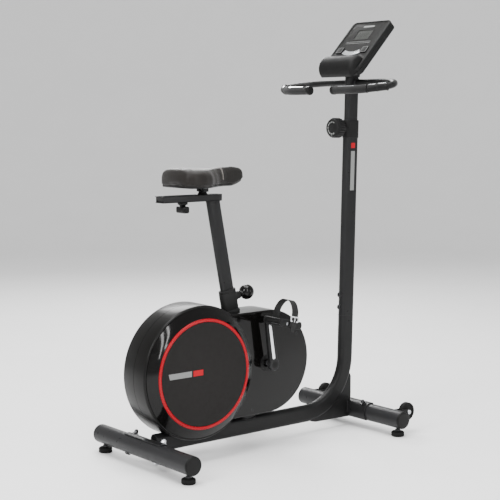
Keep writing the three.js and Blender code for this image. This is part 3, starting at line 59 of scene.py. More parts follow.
def drawing(point):
    """A place in the frame, in the drawing's millimetres."""
    return Vector((point[0] / MM - REAR_X, point[1] / MM, point[2] / MM))


def box(node):
    """A CAD node's lowest and highest corners, in the drawing."""
    low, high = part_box(node)
    return drawing(low), drawing(high)


JOINT = {j["name"]: drawing(j["pos_m"]) for j in frame["joints"] if "pos_m" in j}
AXIS = {j["name"]: Vector(j["axis"]) for j in frame["joints"]}
X = Vector((1, 0, 0))
Y = Vector((0, 1, 0))
Z = Vector((0, 0, 1))
SIDES = (("left", 1), ("right", -1))


# ---------- node materials ----------
class Look:
    """A procedural material: nodes are added by small calls and wired to one Principled shader."""

    def __init__(self, name, color, roughness, metallic=0.0):
        self.material = bpy.data.materials.new(name)
        self.material.use_nodes = True
        self.tree = self.material.node_tree
        self.shader = self.tree.nodes["Principled BSDF"]
        self.set("Base Color", (*color, 1))
        self.set("Roughness", roughness)
        self.set("Metallic", metallic)
        self.set("Specular IOR Level", 0.5 if metallic else 0.14)
        self.material.diffuse_color = (*color, 1)
        self.coords = self.node("ShaderNodeTexCoord").outputs["Object"]

    def node(self, kind, **settings):
        made = self.tree.nodes.new(kind)
        for key, value in settings.items():
            setattr(made, key, value)
        return made

    def set(self, socket, value):
        self.shader.inputs[socket].default_value = value
        return self

    def link(self, out, into):
        self.tree.links.new(out, into)

    def noise(self, scale, detail=3.0, stretch=(1, 1, 1)):
        """Noise with a scale per metre, drawn out along an axis by a stretch below 1."""
        mapping = self.node("ShaderNodeMapping")
        mapping.inputs["Scale"].default_value = stretch
        self.link(self.coords, mapping.inputs["Vector"])
        texture = self.node("ShaderNodeTexNoise")
        texture.inputs["Scale"].default_value = scale
        texture.inputs["Detail"].default_value = detail
        self.link(mapping.outputs["Vector"], texture.inputs["Vector"])
        return texture.outputs["Fac"]

    def cells(self, scale, feature="DISTANCE_TO_EDGE"):
        texture = self.node("ShaderNodeTexVoronoi", feature=feature)
        texture.inputs["Scale"].default_value = scale
        self.link(self.coords, texture.inputs["Vector"])
        return texture.outputs["Distance"]

    def ramp(self, value, low, high, from_value, to_value):
        """A value mapped from one range to another and held at its ends."""
        made = self.node("ShaderNodeMapRange")
        made.inputs["From Min"].default_value = low
        made.inputs["From Max"].default_value = high
        made.inputs["To Min"].default_value = from_value
        made.inputs["To Max"].default_value = to_value
        self.link(value, made.inputs["Value"])
        return made.outputs["Result"]

    def mix(self, value, first, second):
        """Two colours mixed by a value."""
        made = self.node("ShaderNodeMix", data_type="RGBA")
        self.link(value, made.inputs["Factor"])
        for socket, color in (("A", first), ("B", second)):
            place = [s for s in made.inputs if s.name == socket and s.type == "RGBA"][0]
            if isinstance(color, tuple):
                place.default_value = (*color, 1)
            else:
                self.link(color, place)
        return [s for s in made.outputs if s.type == "RGBA"][0]

    def color(self, out):
        self.link(out, self.shader.inputs["Base Color"])
        return self

    def rough(self, value, low, high, smooth, dull):
        self.link(self.ramp(value, low, high, smooth, dull), self.shader.inputs["Roughness"])
        return self

    def bump(self, *layers):
        """Each layer is a height, its strength and its depth in millimetres."""
        before = None
        for height, strength, depth in layers:
            made = self.node("ShaderNodeBump")
            made.inputs["Strength"].default_value = strength
            made.inputs["Distance"].default_value = depth * MM
            self.link(height, made.inputs["Height"])
            if before:
                self.link(before, made.inputs["Normal"])
            before = made.outputs["Normal"]
        self.link(before, self.shader.inputs["Normal"])
        return self

    def edges(self, amount=0.02):
        """How sharp the surface is at each point, from 0 on the flat to 1 on an outer edge."""
        geometry = self.node("ShaderNodeNewGeometry")
        return self.ramp(geometry.outputs["Pointiness"], 0.5 + amount, 0.5 + 3 * amount, 0, 1)


def powder_coat(name, tone, rough=0.4):
    """Satin powder coat: orange-peel, faint blotches and edges rubbed a little brighter."""
    look = Look(name, (tone, tone, tone * 1.02), rough)
    blotch = look.noise(14, 4)
    worn = look.edges()
    base = look.mix(blotch, (tone * 0.82,) * 3, (tone * 1.2, tone * 1.2, tone * 1.22))
    look.color(look.mix(worn, base, (tone * 2.2, tone * 2.2, tone * 2.3)))
    look.rough(look.noise(60, 5), 0.3, 0.7, rough - 0.06, rough + 0.1)
    look.bump((look.noise(1500, 2), 0.16, 0.12), (look.noise(420, 2), 0.1, 0.2))
    return look.material


def moulded(name, tone, rough=0.5, grain=2600, warm=0.0):
    """Moulded plastic with a fine spark-eroded grain and slight rubbing on its edges."""
    color = (tone * (1 + warm), tone, tone * (1 - warm / 2))
    look = Look(name, color, rough)
    worn = look.edges()
    base = look.mix(look.noise(30, 5), tuple(c * 0.85 for c in color), tuple(c * 1.18 for c in color))
    look.color(look.mix(worn, base, tuple(c * 1.9 for c in color)))
    look.rough(look.noise(90, 4), 0.3, 0.7, rough - 0.07, rough + 0.08)
    look.bump((look.cells(grain, "F1"), 0.18, 0.1), (look.noise(700, 2), 0.08, 0.15))
    return look.material


def gloss(name, color, rough=0.07, coat=0.6):
    """Polished plastic: hair scratches, light dust and a very slight waviness."""
    look = Look(name, color, rough)
    look.set("Coat Weight", coat * 0.5).set("Coat Roughness", 0.04).set("Coat IOR", 1.3)
    dust = look.noise(220, 8)
    look.color(look.mix(look.ramp(dust, 0.6, 0.8, 0, 0.25), color, tuple(c + 0.006 for c in color)))
    scratches = look.noise(900, 3, (1, 0.6, 0.04))
    look.rough(scratches, 0.45, 0.75, rough, rough + 0.09)
    look.bump((look.noise(9, 2), 0.05, 1.0), (scratches, 0.02, 0.05))
    return look.material


def rubber(name, tone=0.007, rough=0.75):
    look = Look(name, (tone, tone, tone), rough)
    dusty = look.ramp(look.noise(45, 7), 0.5, 0.75, 0, 0.6)
    look.color(look.mix(dusty, (tone,) * 3, (tone * 2.1, tone * 2.05, tone * 1.95)))
    look.rough(look.noise(160, 4), 0.3, 0.7, rough - 0.1, rough + 0.1)
    look.bump((look.noise(1900, 4), 0.3, 0.15))
    return look.material


def foam(name, tone=0.009):
    """Dense closed-cell foam: small pores all over, their pits painted darker as painted shade."""
    look = Look(name, (tone, tone, tone), 0.85)
    look.set("Sheen Weight", 0.12).set("Sheen Roughness", 0.5)
    pores = look.cells(1500, "F1")
    # painted shade: the colour goes darker towards each pore's centre, where the bump sinks
    look.color(look.mix(look.ramp(pores, 0.1, 0.5, 1, 0), (tone * 1.25,) * 3, (tone * 0.5,) * 3))
    look.rough(look.noise(120, 4), 0.3, 0.7, 0.76, 0.92)
    look.bump((pores, 0.55, 0.35), (look.noise(260, 3), 0.2, 0.4))
    return look.material


def vinyl(name, color):
    """Upholstery vinyl: pebbled grain with painted shade in the valleys between pebbles, soft creases and a
    low sheen where it is rubbed.
    """
    look = Look(name, color, 0.42)
    look.set("Sheen Weight", 0.08).set("Sheen Roughness", 0.4)
    pebbles = look.cells(950)
    low = tuple(c * 0.7 for c in color)
    high = tuple(c * 1.35 for c in color)
    tone = look.mix(look.noise(26, 6), low, high)
    # painted shade: the colour goes darker in the valleys between the pebbles, where the bump dips
    look.color(look.mix(look.ramp(pebbles, 0.0, 0.12, 0.45, 0), tone, tuple(c * 0.45 for c in color)))
    look.rough(look.noise(38, 5), 0.3, 0.7, 0.34, 0.52)
    look.bump((look.noise(55, 4), 0.12, 1.4), (look.ramp(pebbles, 0.0, 0.2, 0, 1), 0.3, 0.22))
    return look.material


def metal(name, color, rough=0.25, brushed=(1, 1, 1), wear=0.1):
    """Plated or machined metal with brushing along one axis."""
    look = Look(name, color, rough, 1.0)
    stain = look.noise(70, 6)
    look.color(look.mix(stain, tuple(c * 0.82 for c in color), color))
    lines = look.noise(1400, 2, brushed)
    look.rough(lines, 0.35, 0.7, max(0.04, rough - wear), rough + wear)
    look.bump((lines, 0.06, 0.05))
    return look.material


def printed(name, color, rough=0.45):
    """A thin print with a slightly uneven edge-to-edge tone."""
    look = Look(name, color, rough)
    look.color(look.mix(look.noise(240, 5), tuple(c * 0.86 for c in color), color))
    look.rough(look.noise(400, 3), 0.3, 0.7, rough - 0.08, rough + 0.08)
    look.bump((look.noise(1800, 2), 0.06, 0.05))
    return look.material


STEEL = powder_coat("steel_powder_coat", 0.008, 0.33)
STEEL_DARK = powder_coat("steel_dark_coat", 0.006, 0.46)
PLASTIC = moulded("plastic_black", 0.006)
PLASTIC_DARK = moulded("plastic_dark", 0.0045, 0.38)
RIM = gloss("rim_satin", (0.0036, 0.0034, 0.0032), 0.3, 0.12)
GLOSS = gloss("housing_gloss", (0.0028, 0.0026, 0.0025))
DISC = moulded("disc_matte", 0.0044, 0.55, 3600, 0.12)
RED = gloss("ring_red", (0.3, 0.0022, 0.009), 0.24, 0.2)
RUBBER = rubber("rubber_black")
FOAM = foam("grip_foam")
VINYL = vinyl("saddle_vinyl", (0.0125, 0.0108, 0.0098))
VINYL_NOSE = vinyl("saddle_vinyl_nose", (0.01, 0.009, 0.0083))
PIPING = vinyl("saddle_piping", (0.16, 0.15, 0.14))
CHROME = metal("chrome", (0.8, 0.81, 0.83), 0.12, (1, 1, 1), 0.05)
ZINC = metal("zinc_plate", (0.55, 0.56, 0.58), 0.32, (1, 0.3, 1))
BLACK_OXIDE = metal("black_oxide", (0.05, 0.05, 0.052), 0.34)
IRON = metal("machined_iron", (0.3, 0.31, 0.33), 0.4, (1, 1, 0.2))
PALE_PRINT = printed("print_pale", (0.2, 0.204, 0.2))
RED_PRINT = printed("print_red", (0.4, 0.002, 0.01))
LCD = printed("display_grey", (0.024, 0.026, 0.023), 0.34)
LCD_MARK = printed("display_marks", (0.22, 0.225, 0.22), 0.5)
WINDOW = gloss("console_window", (0.002, 0.002, 0.0016), 0.3, 0.12)


# ---------- shapes: each is a list of points and a list of faces ----------
def joined(*shapes):
    points, faces = [], []
    for some_points, some_faces in shapes:
        start = len(points)
        points += some_points
        faces += [tuple(i + start for i in face) for face in some_faces]
    return points, faces


def moved(shape, matrix):
    return [matrix @ p for p in shape[0]], shape[1]


def arc(centre_r, centre_h, radius, start, end, steps=6):
    """Points of a round stretch of a turned profile; angles in degrees from +r towards +h."""
    turns = [math.radians(start + (end - start) * i / steps) for i in range(steps + 1)]
    return [(centre_r + radius * math.cos(a), centre_h + radius * math.sin(a)) for a in turns]


def basis(axis, hint=None):
    """Two directions square to an axis and to each other."""
    axis = axis.normalized()
    hint = hint or (X if abs(axis.x) < 0.9 else Y)
    first = (hint - hint.dot(axis) * axis).normalized()
    return first, axis.cross(first)


def turned(profile, origin, axis, sides=64):
    """A profile of (radius, distance along the axis) turned about the axis."""
    first, second = basis(axis)
    axis = axis.normalized()
    points, rings = [], []
    for radius, along in profile:
        centre = origin + axis * along
        if radius < 1e-6:
            points.append(centre)
            rings.append([len(points) - 1])
            continue
        start = len(points)
        for i in range(sides):
            angle = 2 * math.pi * i / sides
            points.append(centre + first * (radius * math.cos(angle)) + second * (radius * math.sin(angle)))
        rings.append(list(range(start, start + sides)))
    loops = list(zip(rings, rings[1:]))
    if profile[0][0] > 1e-6 and profile[0] != profile[-1]:
        loops.append((rings[-1], rings[0]))
    faces = []
    for low, high in loops:
        for i in range(sides):
            j = (i + 1) % sides
            if len(low) == 1 and len(high) == 1:
                continue
            if len(low) == 1:
                faces.append((low[0], high[j], high[i]))
            elif len(high) == 1:
                faces.append((low[i], low[j], high[0]))
            else:
                faces.append((low[i], low[j], high[j], high[i]))
    return points, faces


def lofted(rings, capped=True, closed=False):
    """Rings of equal length joined one to the next."""
    count = len(rings[0])
    points = [p for ring in rings for p in ring]
    faces = []
    pairs = [(k, k + 1) for k in range(len(rings) - 1)]
    if closed:
        pairs.append((len(rings) - 1, 0))
    for k, m in pairs:
        for i in range(count):
            j = (i + 1) % count
            faces.append((k * count + i, k * count + j, m * count + j, m * count + i))
    if capped and not closed:
        faces.append(tuple(range(count))[::-1])
        last = (len(rings) - 1) * count
        faces.append(tuple(range(last, last + count)))
    return points, faces


def swept(section, path, up, capped=True, grow=None):
    """A section of (across, up) points carried along a path; grow scales it along the way."""
    rings = []
    last = len(path) - 1
    for k, place in enumerate(path):
        along = (path[min(k + 1, last)] - path[max(k - 1, 0)]).normalized()
        across = along.cross(up).normalized()
        over = across.cross(along)
        size = grow(k / last) if grow else 1
        rings.append([place + across * (a * size) + over * (b * size) for a, b in section])
    return lofted(rings, capped)


def circle(radius, sides=24):
    turns = [2 * math.pi * i / sides for i in range(sides)]
    return [(radius * math.cos(a), radius * math.sin(a)) for a in turns]


def oval(long, wide, steps=14):
    """A flat-oval outline, longer along its first axis."""
    half = (long - wide) / 2
    points = []
    for centre, start in ((half, -90), (-half, 90)):
        for i in range(steps + 1):
            angle = math.radians(start + 180 * i / steps)
            points.append((centre + wide / 2 * math.cos(angle), wide / 2 * math.sin(angle)))
    return points


def rounded(long, wide, corner, steps=6):
    """A rounded rectangle around the middle."""
    points = []
    for sx, sy, start in ((1, -1, -90), (1, 1, 0), (-1, 1, 90), (-1, -1, 180)):
        for i in range(steps + 1):
            angle = math.radians(start + 90 * i / steps)
            points.append((
                sx * (long / 2 - corner) + corner * math.cos(angle),
                sy * (wide / 2 - corner) + corner * math.sin(angle),
            ))
    return points


def belt_outline(ax, az, ar, bx, bz, br, steps=40):
    """The outline around two circles, from below the second round to below the first."""
    reach = math.hypot(bx - ax, bz - az)
    heading = math.atan2(bz - az, bx - ax)
    spread = math.acos((ar - br) / reach)
    points = []
    for i in range(steps + 1):
        angle = heading - spread + 2 * spread * i / steps
        points.append((bx + br * math.cos(angle), bz + br * math.sin(angle)))
    for i in range(steps + 1):
        angle = heading + spread + (2 * math.pi - 2 * spread) * i / steps
        points.append((ax + ar * math.cos(angle), az + ar * math.sin(angle)))
    return points


def drawn_in(outline, inset):
    """An outline moved inwards square to its sides; the outline runs anticlockwise."""
    made = []
    count = len(outline)
    for i in range(count):
        here = Vector(outline[i])
        before = here - Vector(outline[i - 1])
        after = Vector(outline[(i + 1) % count]) - here
        first = Vector((-before.y, before.x)).normalized()
        second = Vector((-after.y, after.x)).normalized()
        made.append(here + (first + second) * (inset / max(0.3, 1 + first.dot(second))))
    return [(p.x, p.y) for p in made]


def area(outline):
    pairs = zip(outline, outline[1:] + outline[:1])
    return sum(a[0] * b[1] - b[0] * a[1] for a, b in pairs) / 2


def flat(outline, matrix, low, high, edge=0.0, steps=3):
    """An outline pulled up from low to high, its rims rounded by an edge radius."""
    if area(outline) < 0:
        outline = outline[::-1]
    low, high = min(low, high), max(low, high)
    levels = [(0, low), (0, high)]
    if edge:
        turns = [math.pi / 2 * i / steps for i in range(steps + 1)]
        under = [(edge * (1 - math.sin(a)), low + edge * (1 - math.cos(a))) for a in turns]
        over = [(edge * (1 - math.cos(a)), high - edge * (1 - math.sin(a))) for a in turns]
        levels = under + over
    rings = []
    for inset, height in levels:
        ring = drawn_in(outline, inset) if inset else outline
        rings.append([matrix @ Vector((px, py, height)) for px, py in ring])
    return lofted(rings)


def brick(low, high, edge=1.0):
    """A box with rounded edges."""
    size = [h - l for l, h in zip(low, high)]
    middle = [(h + l) / 2 for l, h in zip(low, high)]
    outline = rounded(size[0], size[1], min(edge, 0.45 * size[0], 0.45 * size[1]), 4)
    matrix = Matrix.Translation((middle[0], middle[1], 0))
    return flat(outline, matrix, low[2], high[2], min(edge, 0.45 * size[2]))


def bend_path(corners, steps=14):
    """Straight stretches between (place, radius) corners, each corner rounded."""
    path = [corners[0][0]]
    for (before, _), (here, radius), (after, _) in zip(corners, corners[1:], corners[2:]):
        arriving = (here - before).normalized()
        leaving = (after - here).normalized()
        bend = arriving.angle(leaving)
        axis = arriving.cross(leaving).normalized()
        start = here - arriving * (radius * math.tan(bend / 2))
        centre = start + axis.cross(arriving) * radius
        for k in range(steps + 1):
            path.append(centre + Matrix.Rotation(bend * k / steps, 3, axis) @ (start - centre))
    path.append(corners[-1][0])
    return path


def dense(path, step):
    """The same path with points no further apart than a step."""
    made = [path[0]]
    for a, b in zip(path, path[1:]):
        count = max(1, math.ceil((b - a).length / step))
        made += [a.lerp(b, k / count) for k in range(1, count + 1)]
    return made


def weld(path, radius=2.4, ripple=3.2):
    """A bead of weld along a path, rippled as the torch leaves it."""
    fine = dense(path, 1.1)
    reach = [0]
    for a, b in zip(fine, fine[1:]):
        reach.append(reach[-1] + (b - a).length)
    total = len(fine) - 1

    def swell(share):
        return 0.86 + 0.14 * math.cos(2 * math.pi * reach[round(share * total)] / ripple)

    hint = Y if abs((fine[-1] - fine[0]).normalized().y) < 0.7 else Z
    return swept(circle(radius, 8), fine, hint, grow=swell)


# ---------- pieces ----------
def piece(name, shape, look, body, stands_for=(), bevel=0.0, segments=3, sharp=32):
    """Makes a mesh object of a shape, rounds its sharp edges and lets it ride on a body."""
    points, faces = shape
    mesh = bpy.data.meshes.new(name)
    mesh.from_pydata([((p[0] + REAR_X) * MM, p[1] * MM, p[2] * MM) for p in points], [], faces)
    work = bmesh.new()
    work.from_mesh(mesh)
    bmesh.ops.remove_doubles(work, verts=work.verts, dist=2e-6)
    bmesh.ops.dissolve_degenerate(work, edges=work.edges, dist=1e-6)
    bmesh.ops.recalc_face_normals(work, faces=work.faces)
    work.to_mesh(mesh)
    work.free()
    made = bpy.data.objects.new(name, mesh)
    bpy.context.scene.collection.objects.link(made)
    mesh.materials.append(look)
    if bevel:
        add_bevel(made, bevel, segments)
    smooth(made, sharp)
    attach(made, body)
    if stands_for:
        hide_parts(*([stands_for] if isinstance(stands_for, str) else stands_for))
    return made


def add_bevel(made, width, segments=3, limit=40):
    rounding = made.modifiers.new("rounded_edges", "BEVEL")
    rounding.width = width * MM
    rounding.segments = segments
    rounding.limit_method = "ANGLE"
    rounding.angle_limit = math.radians(limit)
    rounding.harden_normals = False


def smooth(made, sharp):
    mesh = made.data
    mesh.polygons.foreach_set("use_smooth", [True] * len(mesh.polygons))
    mesh.set_sharp_from_angle(angle=math.radians(sharp))
    if made.modifiers:
        weighted = made.modifiers.new("even_normals", "WEIGHTED_NORMAL")
        weighted.keep_sharp = True


def applied(made):
    """Bakes a piece's modifiers into its mesh."""
    bpy.context.view_layer.update()
    graph = bpy.context.evaluated_depsgraph_get()
    mesh = bpy.data.meshes.new_from_object(made.evaluated_get(graph))
    made.modifiers.clear()
    made.data = mesh
    return made


def tool(shape):
    """A bare mesh object to cut or join with."""
    points, faces = shape
    mesh = bpy.data.meshes.new("tool")
    mesh.from_pydata([((p[0] + REAR_X) * MM, p[1] * MM, p[2] * MM) for p in points], [], faces)
    work = bmesh.new()
    work.from_mesh(mesh)
    bmesh.ops.remove_doubles(work, verts=work.verts, dist=2e-6)
    bmesh.ops.recalc_face_normals(work, faces=work.faces)
    work.to_mesh(mesh)
    work.free()
    made = bpy.data.objects.new("tool", mesh)
    bpy.context.scene.collection.objects.link(made)
    return made


def combine(made, operation, *shapes):
    """Cuts, joins or intersects a piece with shapes, in turn."""
    for shape in shapes:
        other = tool(shape)
        step = made.modifiers.new("combine", "BOOLEAN")
        step.operation = operation
        step.object = other
        step.solver = "EXACT"
        applied(made)
        bpy.data.objects.remove(other)
    return made


def centripetal(knots, steps=12):
    """A smooth curve through knots, evenly paced, with its ends carried straight on."""
    points = []
    last = len(knots) - 1
    for k in range(last):
        b, c = knots[k], knots[k + 1]
        a = knots[k - 1] if k else 2 * b - c
        d = knots[k + 2] if k + 2 <= last else 2 * c - b
        gaps = [(q - p).length ** 0.5 for p, q in ((a, b), (b, c), (c, d))]
        leaving = (b - a) / gaps[0] - (c - a) / (gaps[0] + gaps[1]) + (c - b) / gaps[1]
        arriving = (c - b) / gaps[1] - (d - b) / (gaps[1] + gaps[2]) + (d - c) / gaps[2]
        m, n = leaving * gaps[1], arriving * gaps[1]
        for i in range(steps):
            t = i / steps
            points.append(b + m * t + (3 * (c - b) - 2 * m - n) * t ** 2 + (2 * (b - c) + m + n) * t ** 3)
    points.append(knots[-1])
    return points


def stretch(path, start, end):
    """The part of a path between two distances along it."""
    made = []
    reach = 0
    for a, b in zip(path, path[1:]):
        long = (b - a).length
        for target in (start, end):
            if reach <= target < reach + long:
                made.append((target, a.lerp(b, (target - reach) / long)))
        if start < reach + long < end:
            made.append((reach + long, b))
        reach += long
    made.sort(key=lambda pair: pair[0])
    kept = []
    for _, point in made:
        if not kept or (point - kept[-1]).length > 0.05:
            kept.append(point)
    return kept


FROM_SIDE = Matrix(((1, 0, 0, 0), (0, 0, 1, 0), (0, 1, 0, 0), (0, 0, 0, 1)))


def ring_sector(x, z, inner, outer, start, end, steps=24):
    turns = [math.radians(start + (end - start) * i / steps) for i in range(steps + 1)]
    out = [(x + outer * math.cos(a), z + outer * math.sin(a)) for a in turns]
    back = [(x + inner * math.cos(a), z + inner * math.sin(a)) for a in reversed(turns)]
    return out + back


# ---------- named sizes, in millimetres ----------
STAB_R, STAB_Z, STAB_HALF = 30, 58, 250
FRONT_X = 887
TUBE_LONG, TUBE_WIDE = 60, 30
BEAM_Z, BEND_R = 69.5, 185
BEAM_TOP = BEAM_Z + TUBE_LONG / 2
POST_FOOT_X, SEAM_Z, POST_TOP_Z, STEM_TOP_Z = 846, 395, 1020, 1222
POST_SLOPE = math.tan(math.radians(1.42))
KNOB_Z, KNOB_R = 1046, 34.5
BAR_R, BAR_Z, BAR_DEPTH, BAR_HALF, BAR_END = 11, 1203, 154, 258, 56
BAR_TILT = math.radians(10.5)
DRUM = Vector((JOINT["flywheel_spin"].x, 0, JOINT["flywheel_spin"].z))
CRANK = Vector((JOINT["crank_spin"].x, 0, JOINT["crank_spin"].z))
DRUM_R, DRUM_HALF, BEZEL_R, BEZEL_OUT = 214, 56, 178, 80
LOBE_X, LOBE_Z, LOBE_R, LOBE_HALF = 453, 287, 170.5, 60
RING_OUT = 176
CRANK_IN, CRANK_THICK = 88, 14
PEDAL_WIDE, PEDAL_BACK, PEDAL_TOE, PEDAL_THICK = 86, 32, 60, 26
SEAT_SLOPE = math.tan(math.radians(11))
RAIL_Z, RAIL_HIGH, SEAT_TOP_X = 821, 21, 268
SEAT_TUBE_TOP, BUSHING_TOP, PIN_Z = 520, 530, 501
LOCK_X, CLAMP_X, SADDLE_Z = 150, 228, 866
WHEEL_Y = 206
WHEEL = Vector((950, 0, 72))


def on_post(ahead, left, z):
    lean = math.atan(POST_SLOPE)
    foot = Vector((POST_FOOT_X + (z - BEAM_Z) * POST_SLOPE, left, z))
    return foot + Vector((math.cos(lean), 0, -math.sin(lean))) * ahead


def on_seat(ahead, left, z):
    lean = math.atan(SEAT_SLOPE)
    foot = Vector((SEAT_TOP_X + (RAIL_Z - z) * SEAT_SLOPE, left, z))
    return foot + Vector((math.cos(lean), 0, math.sin(lean))) * ahead


def bar(place, long, wide, z0, z1, steps=14):
    """A flat-oval tube between two heights of the post or of the seat tube."""
    return swept(oval(long, wide, steps), [place(0, 0, z0), place(0, 0, z1)], Y)


def hexagon(across_flats, origin, axis, low, high):
    radius = across_flats / 2 / math.cos(math.pi / 6)
    chamfer = across_flats * 0.06
    profile = [(0, low), (radius, low), (radius, high - chamfer), (radius - chamfer, high), (0, high)]
    return turned(profile, origin, axis, 6)


# ---------- welded frame ----------
def build_frame():
    route = bend_path(
        [(Vector((34, 0, BEAM_Z)), 0), (Vector((POST_FOOT_X, 0, BEAM_Z)), BEND_R),
            (on_post(0, 0, SEAM_Z), 0)], 30
    )
    piece("frame_backbone", swept(oval(TUBE_LONG, TUBE_WIDE, 16), route, Y), STEEL, "frame",
          "main_frame", bevel=0.8)
    web = [(676, 66), (684, 40), (706, 34.5), (871, 31.5), (871, 90), (873, 104), (873, 176), (866, 190),
        (846, 192), (780, 90)]
    piece("frame_gusset", flat(web, FROM_SIDE, -12, 12), STEEL, "frame", bevel=4, segments=5)
    for end, x, start, stop in (("rear", 0, -50, 112), ("front", FRONT_X, 68, 232)):
        shape = flat(ring_sector(x, STAB_Z, STAB_R + 0.2, STAB_R + 4, start, stop), FROM_SIDE, -98, 98)
        piece(f"{end}_saddle_plate", shape, STEEL, "frame", bevel=1.2)
        toward = 1 if x == 0 else -1
        ring = [
            Vector((x + toward * (STAB_R + 4.6), a * 1.02, BEAM_Z + b * 1.02))
            for b, a in oval(TUBE_LONG - 6, TUBE_WIDE, 12)
        ]
        piece(f"{end}_beam_weld", weld(ring + ring[:1]), STEEL_DARK, "frame")
    seat = bar(on_seat, TUBE_LONG, TUBE_WIDE, BEAM_TOP - 4, SEAT_TUBE_TOP, 16)
    piece("seat_tube", seat, STEEL, "frame", bevel=0.8)
    foot = [on_seat(a * 1.02, b * 1.03, BEAM_TOP + 1.2) for a, b in oval(TUBE_LONG, TUBE_WIDE, 12)]
    foot = [Vector((p.x, p.y, BEAM_TOP + 1.2 - 0.03 * p.y * p.y)) for p in foot]
    piece("seat_tube_weld", weld(foot + foot[:1], 2.8), STEEL_DARK, "frame")
    seam = [on_post(a * 1.008, b * 1.01, SEAM_Z) for a, b in oval(TUBE_LONG, TUBE_WIDE, 12)]
    piece("post_seam_weld", swept(circle(0.8, 8), seam + seam[:1], Z), STEEL_DARK, "frame")
    bracket = turned([(16, -30), (20, -30), (20, 14), (16, 14), (16, -30)], CRANK, Y)
    web_bar = brick((CRANK.x - 41, -12, CRANK.z - 18), (CRANK.x - 18, 12, CRANK.z + 18), 2)
    piece("bottom_bracket", joined(bracket, web_bar), STEEL, "frame")
    for side, sign in SIDES:
        sheet = [(-26, 0), (26, 0), (17, DRUM.z + 14 - BEAM_TOP), (8, DRUM.z + 22 - BEAM_TOP)]
        sheet += [(-8, DRUM.z + 22 - BEAM_TOP), (-17, DRUM.z + 14 - BEAM_TOP)]
        outline = [(DRUM.x + a, BEAM_TOP + b) for a, b in sheet]
        piece(f"flywheel_fork_{side}", flat(outline, FROM_SIDE, sign * 34, sign * 37), STEEL, "frame",
              bevel=0.8)


def wheel_cheeks(sign):
    out = 10.5
    outline = belt_outline(FRONT_X, STAB_Z, STAB_R - 4, WHEEL.x, WHEEL.z, 11)
    shapes = []
    for y in (sign * WHEEL_Y - out - 3, sign * WHEEL_Y + out):
        shapes.append(flat(outline, FROM_SIDE, y, y + 3, 0.8))
    return joined(*shapes)


def build_stabilisers():
    tube = [(28, -250), (28, 250), (29.3, 250), (30, 249.3), (30, -249.3), (29.3, -250), (28, -250)]
    for end, x in (("rear", 0), ("front", FRONT_X)):
        node = f"{end}_stabiliser"
        piece(f"{end}_tube", turned(tube, Vector((x, 0, STAB_Z)), Y, 96), STEEL, "frame",
            node)
        for side, sign in SIDES:
            tag = f"{end}_{side}"
            cap = ([(0, -14), (27.5, -14), (27.5, 0.3), (29.9, 0.3)] + arc(24.5, 1.6, 5.4, 0, 90, 8)
                + [(0, 7)])
            at = Vector((x, sign * STAB_HALF, STAB_Z))
            piece(f"{end}_cap_{side}", turned(cap, at, Y * sign, 96), PLASTIC_DARK, "frame",
                  f"{end}_end_cap_{side}", sharp=45)
            base = Vector((x, sign * 228, 0))
            rim = ([(0, 0.0), (18.5, 0)] + arc(18.6, 3.4, 3.4, -90, 0, 5)
                + [(22, 6), (21.2, 6.6), (21.2, 8), (22, 8.6)])
            rim += arc(19, 13, 3, 0, 60, 5) + [(18.2, 17.2), (11, 18), (11, 18), (5, 18), (5, 44), (0, 44)]
            piece(f"foot_{tag}", turned(rim, base, Z, 72), RUBBER, f"{end}_foot_{side}",
                  f"{end}_foot_{side}", sharp=40)
            nut = hexagon(17, base, Z, 18.2, 24.5)
            thread = [(r, 24.5 + 0.75 * k) for k in range(5) for r in (5.4, 4.6)]
            piece(f"foot_nut_{tag}", joined(nut, turned([(0, 24)] + thread + [(0, 28)], base, Z, 32)),
                  BLACK_OXIDE, f"{end}_foot_{side}")
            build_bolt(end, x, side, sign)
    for side, sign in SIDES:
        piece(f"wheel_bracket_{side}", wheel_cheeks(sign), STEEL, "frame",
            "front_stabiliser")
        hub = Vector((WHEEL.x, sign * WHEEL_Y, WHEEL.z))
        pin = [(0, -16.5), (7, -16.5), (7.6, -15.5), (7.6, -13.6), (5, -13.5), (5, 13.5), (7.6, 13.6),
            (7.6, 15.5), (7, 16.5), (0, 16.5)]
        piece(f"wheel_pin_{side}", turned(pin, hub, Y, 32), ZINC, "frame")
        tread = [(5.5, -9), (12, -9), (13, -7.5), (24, -7.5), (25, -9)]
        tread += (arc(29, -6, 3, -90, 0, 5) + arc(29, 6, 3, 0, 90, 5)
            + [(25, 9), (24, 7.5), (13, 7.5), (12, 9), (5.5, 9), (5.5, -9)])
        piece(f"wheel_tyre_{side}", turned(tread, hub, Y, 80), RUBBER, f"transport_wheel_{side}",
              f"transport_wheel_{side}", sharp=40)


def build_bolt(end, x, side, sign):
    lean = math.radians(27) * (1 if x == 0 else -1)
    up = Vector((math.sin(lean), 0, math.cos(lean)))
    at = Vector((x, sign * 76, STAB_Z))
    head = turned([(0, -35.3), (5, -35.3), (9, -33), (10, -31.5), (10, -30.3), (4, -30.3), (4, 34.9),
        (0, 34.9)], at, up, 40)
    washer = turned([(4, 34.6), (10.2, 34.6), (10.5, 35), (10.5, 36.4), (10.2, 36.8), (4, 36.8)], at, up,
        40)
    nut = hexagon(13, at, up, 36.8, 43.5)
    dome = turned([(6.6, 43)] + arc(0, 43, 6.4, 0, 90, 8), at, up, 32)
    dark = BLACK_OXIDE if (end, side) != ("rear", "right") else ZINC
    piece(f"{end}_bolt_set_{side}", joined(head, washer, nut, dome), dark, "frame",
          f"{end}_bolt_{side}")


